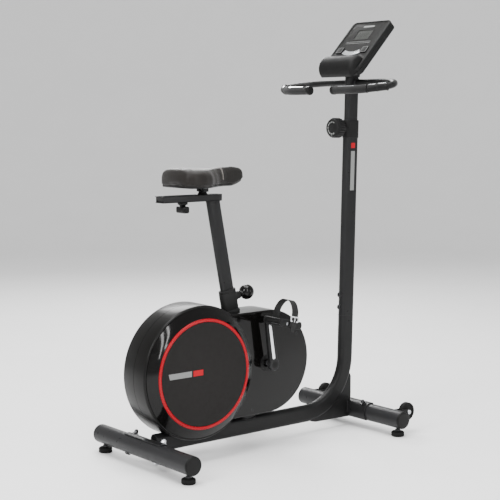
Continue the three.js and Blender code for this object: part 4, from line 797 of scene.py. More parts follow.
# ---------- front post ----------
def build_post():
    piece("post_tube", bar(on_post, TUBE_LONG, TUBE_WIDE, SEAM_Z + 0.3, POST_TOP_Z, 18), STEEL, "frame",
          "upper_post", bevel=0.6)
    piece("stem_tube", bar(on_post, 55, 25, POST_TOP_Z - 60, STEM_TOP_Z, 18), STEEL, "frame",
          "handlebar_stem", bevel=0.8)
    shapes = []
    for z in (424, 467):
        at = on_post(0, 0, z)
        back = (on_post(-1, 0, z) - at)
        washer = [(4, 30.2), (9.5, 30.2), (9.9, 30.6), (9.9, 31.6), (9.5, 32), (4, 32)]
        head = [(4, 32)] + [(7.6, 32), (7.8, 32.6), (7.8, 35.6)] + arc(5.6, 34.8, 2.2, 20, 90, 4)
        socket = [(3.4, 37), (3, 36.6), (3, 33.5), (0, 33.5)]
        shapes += [turned(washer, at, back, 32), turned([(0, 18)] + head + socket, at, back, 32)]
    piece("post_screws", joined(*shapes), BLACK_OXIDE, "frame", "post_bolts")
    stripe = [(on_post(0, 0, z).x + a, z) for a, z in ((-9, 832), (9, 832), (9, 968), (-9, 968))]
    for side, sign in SIDES:
        face = sign * (TUBE_WIDE / 2)
        square = [(on_post(0, 0, z).x + a, z) for a, z in ((-9, 978), (9, 978), (9, 996), (-9, 996))]
        piece(f"post_mark_red_{side}", flat(square, FROM_SIDE, face - sign * 0.2, face + sign * 0.12),
            RED_PRINT,
              "frame")
        piece(f"post_mark_pale_{side}", flat(stripe, FROM_SIDE, face - sign * 0.2, face + sign * 0.12),
            PALE_PRINT,
              "frame")


def build_collar():
    low, high = POST_TOP_Z - 7, POST_TOP_Z + 55
    levels = [(0, low), (0.8, low + 0.2), (1.8, low + 1.2), (2, low + 3), (2, high - 4), (1.6, high - 2),
        (0.6, high - 0.5), (-1.2, high)]
    rings = []
    for grow, z in levels:
        rings.append([on_post(-a, b, z) for a, b in oval(TUBE_LONG + 2 * grow, TUBE_WIDE + 2 * grow, 18)])
    piece("collar_shell", lofted(rings), PLASTIC, "frame", "tension_collar")
    seam = brick((-2, -17.2, low + 2), (-0.5, 17.2, high - 3), 0.4)
    tilt = Matrix.Translation(on_post(-20, 0, 0) - on_post(0, 0, 0)
        + Vector((on_post(0, 0, KNOB_Z).x, 0, 0)))
    piece("collar_flange", moved(seam, tilt), PLASTIC, "frame")
    at = on_post(0, 0, KNOB_Z)
    back = on_post(-1, 0, KNOB_Z) - at
    boss = [(0, 18), (14.6, 18), (15, 26), (15, 38), (15.6, 41), (18.5, 44.5), (22.4, 47.2),
        (23.7, 49.4), (24, 51.5), (24, 54), (23.4, 54.7), (9, 54.7), (0, 54.7)]
    piece("collar_boss", turned(boss, at, back, 80), PLASTIC, "frame", sharp=50)


def build_knob():
    at = on_post(0, 0, KNOB_Z)
    back = (on_post(-1, 0, KNOB_Z) - at).normalized()
    first, second = basis(back, Y)
    place = Matrix((first, second, back)).transposed().to_4x4()
    place.translation = at + back * 55.5
    outline = []
    ribs, fine = 22, 12
    for i in range(ribs * fine):
        angle = 2 * math.pi * i / (ribs * fine)
        wave = 0.5 + 0.5 * math.cos(ribs * angle)
        radius = KNOB_R - 1.9 * (1 - wave ** 0.45)
        outline.append((radius * math.cos(angle), radius * math.sin(angle)))
    piece("dial_grip", flat(outline, place, 0, 27, 1.3), PLASTIC_DARK, "tension_knob",
        "tension_knob")
    face = ([(0, 20), (32, 20), (32, 28.2)] + arc(27, 28.2, 4.4, 0, 75, 6)
        + [(25, 32.7), (24.6, 31.9), (11, 31.9), (10, 32.6), (0, 33)])
    centre = place.translation
    piece("dial_face", turned(face, centre, back, 96), PLASTIC, "tension_knob", sharp=50)
    piece("dial_shaft", turned([(0, -16), (6, -16), (6, 2), (0, 2)], centre, back, 32), ZINC,
        "tension_knob")
    marks = [flat(ring_sector(0, 0, 18.4, 21.4 + 0.25 * k, 28 * k - 122, 28 * k - 102, 8), place, 31.7,
        32.15)
             for k in range(9)]
    pointer = [(-2.2, 25.5), (2.2, 25.5), (0, 30.2)]
    marks.append(flat(pointer, place, 31.9, 32.85))
    piece("dial_marks", joined(*marks), PALE_PRINT, "tension_knob")


# ---------- handlebar ----------
def on_bar(back, left):
    front = on_post(0, 0, BAR_Z).x + 10
    return Vector((front - back * math.cos(BAR_TILT), left, BAR_Z - back * math.sin(BAR_TILT)))


def bar_route():
    half = [(BAR_DEPTH, BAR_END), (BAR_DEPTH, BAR_END + 50), (BAR_DEPTH - 3, BAR_END + 105),
        (BAR_DEPTH - 26, BAR_HALF - 40)]
    half += [(BAR_DEPTH / 2 + 8, BAR_HALF), (26, BAR_HALF - 40), (3, BAR_HALF - 110), (0, BAR_HALF - 180)]
    knots = [on_bar(b, l) for b, l in half] + [on_bar(0, 0)] + [on_bar(b, -l) for b, l in reversed(half)]
    return centripetal(knots, 14)


def sleeve(path, outer, round_off=2.0):
    """A soft-edged sleeve on a path."""
    total = sum((b - a).length for a, b in zip(path, path[1:]))
    up = Vector((-math.sin(BAR_TILT), 0, math.cos(BAR_TILT)))
    rings = []
    far = 0
    for k, point in enumerate(path):
        behind, ahead = path[max(k - 1, 0)], path[min(k + 1, len(path) - 1)]
        along = (ahead - behind).normalized()
        across = along.cross(up).normalized()
        over = across.cross(along)
        near = min(far, total - far)
        radius = outer - round_off + math.sqrt(max(0, round_off ** 2 - max(0, round_off - near) ** 2))
        rings.append([point + across * (radius * c) + over * (radius * s) for c, s in circle(1, 32)])
        far += (ahead - point).length
    return lofted(rings)


def build_handlebar():
    route = bar_route()
    up = Vector((-math.sin(BAR_TILT), 0, math.cos(BAR_TILT)))
    piece("bar_loop", swept(circle(BAR_R, 36), dense(route, 6), up), STEEL, "frame",
        "handlebar", bevel=1.2)
    clamp = on_bar(0, 0)
    collar = [(11.1, -19), (14, -19), (15.2, -17.8), (15.2, 17.8), (14, 19), (11.1, 19), (11.1, -19)]
    piece("bar_clamp_ring", turned(collar, clamp, Y, 48), STEEL, "frame")
    for side, sign in SIDES:
        path = route if sign > 0 else route[::-1]
        grip = dense(stretch(path, 0.8, 150), 1.5)
        piece(f"grip_foam_{side}", sleeve(grip, 14.2, 2.2), FOAM, "frame", f"grip_{side}", sharp=60)
        tip = path[0]
        outward = (path[0] - path[1]).normalized()
        plug = ([(0, -12), (12, -12), (15, -11), (15.6, -9.6), (15.6, -1.5)]
            + arc(13.6, -0.6, 2, 0, 90, 4) + [(0, 1.6)])
        piece(f"grip_end_{side}", turned(plug, tip - outward * 0.8, outward, 48), PLASTIC_DARK, "frame")
        inner_end = stretch(path, 150, 154)
        lip = [(11, -3), (14.6, -3), (15.1, -2.4), (15.1, 0.4), (14.6, 1), (11, 1), (11, -3)]
        along = (inner_end[-1] - inner_end[0]).normalized()
        piece(f"grip_lip_{side}", turned(lip, inner_end[0], along, 48), PLASTIC_DARK, "frame")
        plate = dense(stretch(path, 152, 216), 2)
        shape = sleeve(plate, 13.3, 1.2)
        piece(f"sensor_sleeve_{side}", shape, PLASTIC_DARK, "frame",
            f"pulse_sensor_{side}", sharp=60)
        thin, thick = ring_sector(0, 0, 13.1, 14, 62, 118), ring_sector(0, 0, 14, 14.8, 58, 122)
        plates = [swept(thin, dense(stretch(path, a, a + 24), 2), up) for a in (156, 189)]
        plates.append(swept(thick, dense(stretch(path, 34, 106), 2), up))
        piece(f"sensor_plates_{side}", joined(*plates), CHROME, "frame")
        middle = stretch(path, 183, 185)
        heading = (middle[-1] - middle[0]).normalized()
        band = [(11, -2.5), (13.8, -2.5), (14, -2), (14, 2), (13.8, 2.5), (11, 2.5), (11, -2.5)]
        piece(f"sensor_band_{side}", turned(band, middle[0], heading, 48), PLASTIC_DARK, "frame")
        end = stretch(path, 216, 220)
        piece(f"sensor_lip_{side}", turned(lip, end[0] + (end[-1] - end[0]).normalized(),
            end[-1] - end[0], 48),
              PLASTIC_DARK, "frame")


# ---------- console ----------
CONSOLE = Matrix.Translation((830, 0, 1224)) @ Matrix.Rotation(math.radians(-46.4), 4, "Y")
CONSOLE_LONG, CONSOLE_WIDE, CONSOLE_DEEP = 239, 186, 30
BUTTON_UP, BUTTON_OUT, LENS_UP = 96, 60, 172


def slab(long, wide, corner, z0, z1, up=CONSOLE_LONG / 2, left=0.0, edge=0.0, steps=8):
    """A rounded plate in the console's own plane: x up the slope, y left, z out of the face."""
    place = CONSOLE @ Matrix.Translation((up, left, 0))
    return flat(rounded(long, wide, corner, steps), place, z0, z1, edge, 4)


def build_console():
    piece("console_back", slab(CONSOLE_LONG, CONSOLE_WIDE, 18, 0, 18, edge=3.2), PLASTIC, "frame",
          "console_rear_shell")
    vents = [slab(3, 70, 1.4, -0.4, 0.6, 196 + 7 * k, edge=0.3, steps=3) for k in range(5)]
    piece("console_back_ribs", joined(*vents), PLASTIC_DARK, "frame")
    screws = []
    for up in (18, 218):
        for left in (-76, 76):
            at = CONSOLE @ Vector((up, left, 0))
            out = CONSOLE.to_3x3() @ Vector((0, 0, -1))
            screws.append(turned([(4, 1), (4, 0.3), (3.2, -0.1), (1.4, -0.1), (1.2, -1), (0, -1)][::-1],
                at, out, 24))
    piece("console_back_screws", joined(*screws), BLACK_OXIDE, "frame")
    middle = Vector((831, 0, 1251))
    ends = arc(85 - 16, 43 - 16, 16, 0, 90, 8)
    ledge = [(0, -85)] + [(h, -r) for r, h in ends] + [(h, r) for r, h in reversed(ends)] + [(0, 85)]
    made = piece("console_face", turned(ledge, middle, Y, 128), PLASTIC, "frame",
        "console_front_shell")
    combine(made, "DIFFERENCE", slab(700, 400, 10, -200, 18.3))
    combine(made, "UNION", slab(CONSOLE_LONG, CONSOLE_WIDE, 18, 18.35, CONSOLE_DEEP, edge=2.6))
    recess = slab(186, 170, 12, CONSOLE_DEEP - 1.6, CONSOLE_DEEP + 20, 141, edge=0.9)
    combine(made, "DIFFERENCE", recess, slab(44.6, 70.6, 4.2, 20, 60, LENS_UP))
    for _, sign in SIDES:
        combine(made, "DIFFERENCE", slab(29.4, 29.4, 4.2, 21, 60, BUTTON_UP, sign * BUTTON_OUT))
    smooth(made, 32)
    face = CONSOLE_DEEP - 1.6
    window = slab(185, 169, 11.6, face - 0.4, face + 0.35, 141, edge=0.3)
    sheet = piece("console_panel", window, WINDOW, "frame")
    combine(sheet, "DIFFERENCE", slab(44.4, 70.4, 4, 20, 60, LENS_UP), slab(80, 210, 2, 20, 60, 40))
    for _, sign in SIDES:
        combine(sheet, "DIFFERENCE", slab(29.4, 29.4, 4.2, 21, 60, BUTTON_UP, sign * BUTTON_OUT))
    smooth(sheet, 32)
    build_display(face + 0.35)
    for side, sign in SIDES:
        build_button(side, sign)


def build_display(face):
    """The liquid-crystal window with its frame, and plain generic marks around it."""
    outer, inner = rounded(52, 78, 6, 6), rounded(45.6, 71.6, 4.4, 6)
    place = CONSOLE @ Matrix.Translation((LENS_UP, 0, 0))
    low = [place @ Vector((a, b, face - 0.3)) for a, b in outer]
    high = [place @ Vector((a, b, face + 0.6)) for a, b in drawn_in(outer, 0.6)]
    lip = [place @ Vector((a, b, face + 0.6)) for a, b in inner]
    foot = [place @ Vector((a, b, face - 0.3)) for a, b in drawn_in(inner, 0.2)]
    piece("display_frame", lofted([low, high, lip, foot], closed=True), PLASTIC_DARK, "frame")
    piece("display_glass", slab(43.8, 69.8, 3.6, 25, 28.4, LENS_UP, edge=0.4), LCD, "frame",
        "display_lens")
    marks = []
    for column in range(4):
        left = 25 - 12.5 * column - (3 if column > 1 else 0)
        for up, long, wide in ((8, 1.3, 6.4), (0.2, 1.3, 6.4), (-7.6, 1.3, 6.4)):
            marks.append(slab(long, wide, 0.5, 28.3, 28.55, LENS_UP + up, left - 3, steps=2))
        for up in (4.1, -3.7):
            for aside in (-3.9, 3.9):
                if (column + (aside > 0) + (up > 0)) % 3:
                    marks.append(slab(6, 1.2, 0.5, 28.3, 28.55, LENS_UP + up, left - 3 + aside, steps=2))
    for left in range(-27, 30, 9):
        marks.append(slab(1.6, 5.4, 0.5, 28.3, 28.55, LENS_UP + 16.5, left, steps=2))
    piece("display_segments", joined(*marks), PLASTIC_DARK, "frame")
    groove = [slab(1.2, 118, 0.5, face - 0.2, face + 0.25, 138, steps=2),
              slab(1.2, 118, 0.5, face - 0.2, face + 0.25, 131, steps=2)]
    groove.append(slab(8, 52, 2.4, face - 0.2, face + 0.25, 213, steps=4))
    piece("console_marks", joined(*groove), LCD_MARK, "frame")
    arc_plate = ring_sector(0, 0, 66, 84, -31, 31, 40)
    place = CONSOLE @ Matrix.Translation((155, 0, 0)) @ Matrix.Rotation(math.pi, 4, "Z")
    plate = piece("console_crescent", flat(arc_plate, place, face - 0.3, face + 0.8, 0.5), ZINC, "frame")
    for _, sign in SIDES:
        combine(plate, "DIFFERENCE", slab(31, 31, 4.6, 21, 60, BUTTON_UP, sign * BUTTON_OUT))
    smooth(plate, 32)


def build_button(side, sign):
    left = sign * BUTTON_OUT
    body = f"console_button_{side}"
    piece(f"button_cap_{side}", joined(slab(28, 28, 4, 21, 31.8, BUTTON_UP, left, edge=1.3),
                                       slab(33, 33, 5, 21, 23.8, BUTTON_UP, left)),
          PLASTIC_DARK, body, body)
    place = CONSOLE @ Matrix.Translation((BUTTON_UP, left, 0))
    outer, inner = rounded(24.4, 24.4, 3.6), rounded(22.6, 22.6, 3)
    rings = [[place @ Vector((a, b, z)) for a, b in line] for line, z in
             ((outer, 31.5), (outer, 31.95), (inner, 31.95), (inner, 31.5))]
    piece(f"button_outline_{side}", lofted(rings, closed=True), PALE_PRINT, body)


def build_bracket():
    slope = math.tan(math.radians(46.4))

    def back_z(x):
        return 1224 + (x - 830) * slope - 0.5

    low, high = on_post(-27.5, 0, STEM_TOP_Z + 0.3), on_post(27.5, 0, STEM_TOP_Z + 0.3)
    outline = [(low.x, low.z), (high.x, high.z), (916, back_z(916) - 10), (922, back_z(922)),
        (852, back_z(852)), (851, back_z(852) - 2)]
    piece("console_neck", flat(outline, FROM_SIDE, -12.5, 12.5), STEEL_DARK, "frame",
          "console_bracket", bevel=3, segments=4)
    place = CONSOLE @ Matrix.Translation((79, 0, 0))
    piece("console_plate", flat(rounded(96, 72, 8), place, -5.2, -0.5, 0.8), STEEL_DARK, "frame")
    piece("neck_plug", bar(on_post, 50, 20, BAR_Z + 14, STEM_TOP_Z + 2), STEEL_DARK, "frame")


# ---------- housing ----------
def drum_profile(wall):
    bezel = BEZEL_R - wall / 2
    rim = DRUM_R - wall
    side = [(0, BEZEL_OUT - wall), (bezel - 6, BEZEL_OUT - wall), (bezel - 2.5, BEZEL_OUT - wall - 0.4),
        (bezel, BEZEL_OUT - wall - 1.8)]
    sweep = [(bezel + (rim - 7 - bezel) * s, BEZEL_OUT - wall - 2
        - (BEZEL_OUT - 2 - DRUM_HALF - 4) * s ** 1.15) for s in
             [k / 10 for k in range(1, 11)]]
    step = [(rim - 6.4, DRUM_HALF + 1.2 - wall / 2), (rim - 6, DRUM_HALF + 2.6 - wall / 2)]
    band = [(rim - 4.6, DRUM_HALF + 2.8 - wall / 2), (rim - 2.4, DRUM_HALF + 1.8 - wall / 2),
        (rim - 0.7, DRUM_HALF - 0.6 - wall / 2),
            (rim, DRUM_HALF - 4)]
    half = side + sweep + step + band
    return [(r, -h) for r, h in half] + [(r, h) for r, h in reversed(half)]


def build_housing():
    outer = piece("housing_shell_left", turned(drum_profile(0), DRUM, Y, 192), GLOSS, "frame",
        "housing_left")
    lobe = belt_outline(DRUM.x, LOBE_Z, LOBE_R, LOBE_X, LOBE_Z, LOBE_R, 72)
    combine(outer, "UNION", flat(lobe, FROM_SIDE, -LOBE_HALF, LOBE_HALF, 6, 6))
    inner = tool(turned([(r, h) for r, h in drum_profile(2.5)], DRUM, Y, 96))
    combine(inner, "UNION", flat(drawn_in_left(lobe, 2.5), FROM_SIDE, -LOBE_HALF + 2.5, LOBE_HALF - 2.5,
        4, 3))
    step = outer.modifiers.new("hollow", "BOOLEAN")
    step.operation = "DIFFERENCE"
    step.object = inner
    step.solver = "EXACT"
    applied(outer)
    bpy.data.objects.remove(inner)
    channel = swept(oval(TUBE_LONG + 2, TUBE_WIDE + 2, 12),
        [Vector((-60, 0, BEAM_Z)), Vector((900, 0, BEAM_Z))], Y)
    combine(outer, "DIFFERENCE", brick((-200, -300, -200), (900, 0.12, 900), 0.5), channel,
            bar(on_seat, TUBE_LONG + 2.2, TUBE_WIDE + 2.2, BEAM_Z, SEAT_TUBE_TOP, 12),
            turned([(0, -200), (13.5, -200), (13.5, 200), (0, 200)], CRANK, Y, 48))
    mesh = outer.data.copy()
    smooth(outer, 28)
    work = bmesh.new()
    work.from_mesh(mesh)
    for vertex in work.verts:
        vertex.co.y = -vertex.co.y
    bmesh.ops.reverse_faces(work, faces=work.faces)
    work.to_mesh(mesh)
    work.free()
    twin = bpy.data.objects.new("housing_shell_right", mesh)
    bpy.context.scene.collection.objects.link(twin)
    smooth(twin, 28)
    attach(twin, "frame")
    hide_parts("housing_right")


def drawn_in_left(outline, inset):
    """The same as drawn_in for an outline of either sense."""
    return drawn_in(outline if area(outline) > 0 else outline[::-1], inset)


def build_trim():
    """Rim bands, discs, rings, disc marks, screws, crank seals and seat collar of the housing."""
    for side, sign in SIDES:
        out = Y * sign
        low = BEZEL_OUT + 0.3
        disc = [(0, low), (165.2, low), (165.2, low + 1.2), (164.4, low + 2), (0, low + 2)]
        piece(f"disc_cover_{side}", turned(disc, DRUM, out, 160), DISC, "frame",
            f"side_disc_{side}")
        ring = ([(165.5, low - 0.6), (165.5, low + 1.4)]
            + arc(170.75, low - 1.6, 5.1, 155, 25, 10)[::1]
                + [(RING_OUT, low + 1.2), (RING_OUT, low - 0.6), (165.5, low - 0.6)])
        piece(f"ring_trim_{side}", turned(ring, DRUM, out, 192), RED, "frame",
            f"side_ring_{side}")
        band = [(DRUM_R - 0.6, 0.4), (DRUM_R + 0.5, 0.6), (DRUM_R + 0.5, DRUM_HALF - 4),
            (DRUM_R - 0.3, DRUM_HALF - 0.4), (DRUM_R - 2.2, DRUM_HALF + 2.2),
                (DRUM_R - 3.4, DRUM_HALF + 2.9), (DRUM_R - 4.6, DRUM_HALF + 2.2),
                    (DRUM_R - 0.6, DRUM_HALF - 6), (DRUM_R - 0.6, 0.4)]
        made = piece(f"rim_band_{side}", turned(band, DRUM, out, 192), RIM, "frame")
        combine(made, "DIFFERENCE",
                flat(belt_outline(DRUM.x + 30, LOBE_Z, LOBE_R, LOBE_X, LOBE_Z, LOBE_R, 48), FROM_SIDE,
                    -LOBE_HALF - 0.2, LOBE_HALF + 0.2),
                swept(oval(TUBE_LONG + 2, TUBE_WIDE + 2, 12),
                    [Vector((-60, 0, BEAM_Z)), Vector((900, 0, BEAM_Z))], Y))
        smooth(made, 32)
        mark_disc(side, sign, low + 2)
        screw_at = [Vector((LOBE_X + 96, sign * LOBE_HALF, LOBE_Z - 112)),
            Vector((LOBE_X + 118, sign * LOBE_HALF, LOBE_Z + 82)),
                    Vector((LOBE_X - 70, sign * LOBE_HALF, LOBE_Z - 152))]
        heads = [turned([(0, 0.1), (1.2, 0.1), (1.6, -0.6), (3.2, -0.6), (3.6, 0.2), (4.2, 0.5),
            (4.6, 0.2), (4.6, -1.2), (0, -1.2)][::-1], p, out, 28)
                 for p in screw_at]
        piece(f"housing_screws_{side}", joined(*heads), BLACK_OXIDE, "frame")
        boss = [(13.8, 0), (24, 0), (26, -0.2), (27, 0.2), (26.5, 1.4), (15, 1.6), (13.8, 1.6), (13.8, 0)]
        at = Vector((CRANK.x, sign * LOBE_HALF, CRANK.z))
        piece(f"crank_seal_{side}", turned(boss, at, out, 64), PLASTIC_DARK, "frame")
    rings = []
    for grow, z in ((5, 0), (5.4, 1), (5, 4.5), (2.4, 8.4), (1.4, 11)):
        base = LOBE_Z + LOBE_R - 4 + z
        rings.append([on_seat(-a, b, base) + Vector((0, 0, 0))
            for a, b in oval(TUBE_LONG + 2 * grow, TUBE_WIDE + 2 * grow, 16)])
    piece("seat_tube_collar", lofted(rings), PLASTIC, "frame")


def mark_disc(side, sign, face):
    """A plain pale stripe and a red block on the rear half of the disc."""
    flip = 1 if sign < 0 else -1
    low, high = DRUM.z - 1, DRUM.z + 17
    depth = (sign * (face - 0.1), sign * (face + 0.16))
    near, far = sorted((DRUM.x - flip * 140, DRUM.x - flip * 52))
    slant = 4.5
    stripe = [(near + (slant if flip > 0 else 0), low), (far, low),
              (far - (0 if flip > 0 else slant), high), (near, high)]
    piece(f"disc_mark_pale_{side}", flat(stripe, FROM_SIDE, *depth), PALE_PRINT, "frame")
    near, far = sorted((DRUM.x - flip * 46, DRUM.x - flip * 8))
    block = [(near, low), (far, low), (far, high), (near, high)]
    piece(f"disc_mark_red_{side}", flat(block, FROM_SIDE, *depth), RED_PRINT, "frame")


# ---------- cranks, pedals and straps ----------
def build_crank(side, sign):
    joint = JOINT[f"pedal_{side}_spin"]
    y0, y1 = sign * CRANK_IN, sign * (CRANK_IN + CRANK_THICK)
    arm = belt_outline(CRANK.x, CRANK.z, 17, joint.x, joint.z, 13, 28)
    piece(f"crank_{side}", flat(arm, FROM_SIDE, y0, y1, 3.4, 4), STEEL, "crank",
        f"crank_arm_{side}")
    out = Y * sign
    ahead = Vector((joint.x - CRANK.x, 0, joint.z - CRANK.z)).normalized()
    near, far = CRANK + ahead * 24, joint - ahead * 16
    strip = belt_outline(near.x, near.z, 5.5, far.x, far.z, 5)
    piece(f"crank_strip_{side}", flat(strip, FROM_SIDE, y1 - sign * 0.4, y1 + sign * 0.5, 0.3), CHROME,
        "crank")
    hub = [(0, CRANK_IN - 4), (18.5, CRANK_IN - 4), (20, CRANK_IN - 2.5), (20, CRANK_IN + 14.4),
        (18.4, CRANK_IN + 16), (0, CRANK_IN + 16)]
    piece(f"crank_hub_{side}", turned(hub, CRANK, out, 64), STEEL, "crank")
    cap = ([(0, CRANK_IN + 17.2), (7, CRANK_IN + 17)]
        + [(11.6, CRANK_IN + 16.6), (12.2, CRANK_IN + 15.6), (0, CRANK_IN + 15.6)])
    piece(f"crank_cap_{side}", turned(cap, CRANK, out, 48), PLASTIC_DARK, "crank")
    at = Vector((joint.x, 0, joint.z))
    tip = CRANK_IN + CRANK_THICK + 5 + PEDAL_WIDE - 4
    spindle = [(0, CRANK_IN + 2), (6, CRANK_IN + 2), (6, tip - 1), (5, tip), (0, tip)]
    flange = [(0, CRANK_IN + 13.8), (9.4, CRANK_IN + 13.8), (9.4, CRANK_IN + 17), (7, CRANK_IN + 18.4),
        (0, CRANK_IN + 18.4)]
    boss = [(0, CRANK_IN - 0.6), (8, CRANK_IN - 0.6), (8.4, CRANK_IN + 0.6), (0, CRANK_IN + 0.6)]
    piece(f"pedal_spindle_{side}", joined(turned(spindle, at, out, 32), turned(flange, at, out, 6),
        turned(boss, at, out, 32)),
          ZINC, "crank")


def pedal_place(side, sign):
    joint = JOINT[f"pedal_{side}_spin"]
    middle = sign * (CRANK_IN + CRANK_THICK + 5 + PEDAL_WIDE / 2)
    return Matrix.Translation((joint.x, middle, joint.z)) @ Matrix.Rotation(math.radians(14), 4, "Y")


def build_pedal(side, sign):
    place = pedal_place(side, sign)
    body = f"pedal_{side}"
    half, wide = PEDAL_THICK / 2, PEDAL_WIDE / 2
    section = [(-PEDAL_BACK, -4), (-16, -half), (38, -half), (54, -half + 2), (PEDAL_TOE, -4),
        (PEDAL_TOE, 5), (55, half), (-27, half), (-PEDAL_BACK, 5)]
    shapes = []
    for a, b in ((-wide, -wide + 9), (wide - 9, wide)):
        shapes.append(moved(flat(section, FROM_SIDE, a, b, 1.6), place))
    for low, high in (((-32, -wide + 8, -5), (-23, wide - 8, half - 0.5)),
        ((49, -wide + 8, -9), (59, wide - 8, half - 1.5)),
                      ((-13, -wide + 8, -half + 0.5), (13, wide - 8, half - 0.3))):
        shapes.append(moved(brick(low, high, 2), place))
    cage = joined(*shapes)
    made = piece(f"pedal_cage_{side}", cage, PLASTIC_DARK, body, body)
    bore = moved(turned([(0, -60), (6.5, -60), (6.5, 60), (0, 60)], Vector((0, -sign * 6, 0)), Y, 32),
        place)
    combine(made, "DIFFERENCE", bore)
    smooth(made, 32)
    pads = []
    for x0, x1 in ((-30, -17), (40, 56)):
        for k in range(5):
            y = -wide + 14 + 14.5 * k
            for z0, z1 in ((half - 2.4, half), (-half + 0.6, -half + 3)):
                if z0 < 0 and x0 < 0:
                    continue
                pads.append(moved(brick((x0, y - 5, z0), (x1, y + 5, z1), 0.9), place))
    for k in range(4):
        y = -wide + 16 + 18 * k
        pads.append(moved(brick((-11, y - 6, half - 1.5), (11, y + 6, half), 0.8), place))
    for y in (-wide + 8, wide - 16):
        pads.append(moved(brick((-24, y, -3), (50, y + 8, 4), 1.4), place))
    piece(f"pedal_treads_{side}", joined(*pads), RUBBER, body)
    reflector = moved(brick((-PEDAL_BACK - 0.2, -24, -3), (-PEDAL_BACK + 3, 24, 4), 0.8), place)
    piece(f"pedal_bar_{side}", reflector, PLASTIC, body)
    build_strap(side, sign, place, body)


def build_strap(side, sign, place, body):
    """The band over the foot, its buckle on the outer side and its hanging tail."""
    half = PEDAL_WIDE / 2 + 0.3 + 1.6
    thick, wide, ahead, high = 2.6, 27, 20, 76.5

    def band(path, width, depth, taper=1.0):
        rings = []
        last = len(path) - 1
        for k, p in enumerate(path):
            along = (path[min(k + 1, last)] - path[max(k - 1, 0)]).normalized()
            over = along.cross(X).normalized()
            share = k / last
            w = width * (1 - (1 - taper) * share)
            rings.append([place @ (p + X * a + over * b) for a, b in rounded(w, depth, depth * 0.42, 3)])
        return lofted(rings)

    def at(y, z, x=ahead):
        return Vector((x, y, z))

    inner = -sign
    route = [at(inner * (half - 1), -8), at(inner * half, 6), at(inner * (half + 0.4), 24),
        at(inner * (half - 3), 46),
             at(inner * (half - 16), 66), at(inner * 15, high - 1.6), at(0, high - 0.9),
                 at(-inner * 16, high - 2),
             at(-inner * (half - 15), 65), at(-inner * (half - 2), 44), at(-inner * (half + 0.6), 22),
                 at(-inner * half, 6),
             at(-inner * (half - 1), -8)]
    piece(f"strap_band_{side}", band(centripetal(route, 8), wide, thick), RUBBER_STRAP, body,
        f"foot_strap_{side}")
    out = sign
    tail = [at(out * (half - 0.2), 34), at(out * (half + 2.6), 22), at(out * (half + 2.4), 6),
        at(out * (half + 1.2), -10), at(out * (half + 0.8), -24)]
    holes = [turned([(0, -0.4), (1.8, -0.4), (2.2, 0), (1.8, 0.4), (0, 0.4)], Vector((0, 0, 0)), Y, 16)]
    piece(f"strap_tail_{side}", band(centripetal(tail, 8), wide - 7, 2, 0.72), RUBBER_STRAP, body)
    plate = [(-17, 9), (17, 9), (17, 27), (-17, 27)]
    rings = []
    for grow, y in ((0, half + 1.2), (0, half + 3.4), (-4, half + 3.4), (-4, half + 1.2)):
        outline = rounded(34 + 2 * grow, 18 + 2 * grow, 4 + grow * 0.6)
        rings.append([place @ Vector((ahead + a, out * y, 18 + b)) for a, b in outline])
    piece(f"strap_buckle_{side}", lofted(rings, closed=True), CHROME, body)
    tongue = moved(brick((ahead - 1.6, min(out * (half + 3), out * (half + 4.4)), 9),
        (ahead + 1.6, max(out * (half + 3), out * (half + 4.4)), 27), 0.6), place)
    piece(f"buckle_tongue_{side}", tongue, CHROME, body)
    return plate, holes


# ---------- seat ----------
def build_sleeve():
    levels = [(0.9, SEAT_TUBE_TOP + 0.3), (1.0, SEAT_TUBE_TOP + 1.4), (1.0, BUSHING_TOP - 2.4),
        (0.4, BUSHING_TOP - 0.8), (-1, BUSHING_TOP)]
    inner = oval(50.6, 20.6, 16)

    def ring(section, z):
        return [on_seat(-a, b, z) for a, b in section]

    rings = [ring(oval(TUBE_LONG + 2 * g, TUBE_WIDE + 2 * g, 16), z) for g, z in levels]
    rings += [ring(inner, BUSHING_TOP), ring(inner, SEAT_TUBE_TOP + 0.3)]
    piece("sleeve_top", lofted(rings, closed=True), PLASTIC, "frame", "seat_bushing")
    skin = [(0.2, PIN_Z - 40), (1.3, PIN_Z - 38.5), (1.5, PIN_Z - 36), (1.5, SEAT_TUBE_TOP - 1.5),
        (0.8, SEAT_TUBE_TOP - 0.2)]
    rings = [ring(oval(TUBE_LONG + 2 * g, TUBE_WIDE + 2 * g, 16), z) for g, z in skin]
    piece("sleeve_skirt", lofted(rings), PLASTIC, "frame")
    at = on_seat(0, 0, PIN_Z)
    ahead = (on_seat(1, 0, PIN_Z) - at).normalized()
    boss = [(0, 22), (15.5, 22), (15, 31), (13.4, 34), (12.6, 39), (12.8, 43.5), (12, 44.6), (5.4, 44.6),
        (0, 44.6)]
    piece("pin_boss", turned(boss, at, ahead, 64), PLASTIC, "frame", sharp=50)


def build_pin():
    at = on_seat(0, 0, PIN_Z)
    ahead = AXIS["seat_pin_pull"]
    stem = [(0, 25.5), (4.2, 25.5), (5, 27), (5, 49), (4.6, 49.4), (4.6, 50.4), (5, 50.8), (5, 58), (0, 58)]
    piece("pin_stem", turned(stem, at, ahead, 32), CHROME, "seat_pin")
    ball = 77
    knob = [(0, 50)] + [(9.4, 50), (10.2, 50.8), (10.4, 53)] + arc(0, ball, 25, -62, 90, 26)
    piece("pin_ball", turned(knob, at, ahead, 80), GLOSS, "seat_pin", "seat_pin")


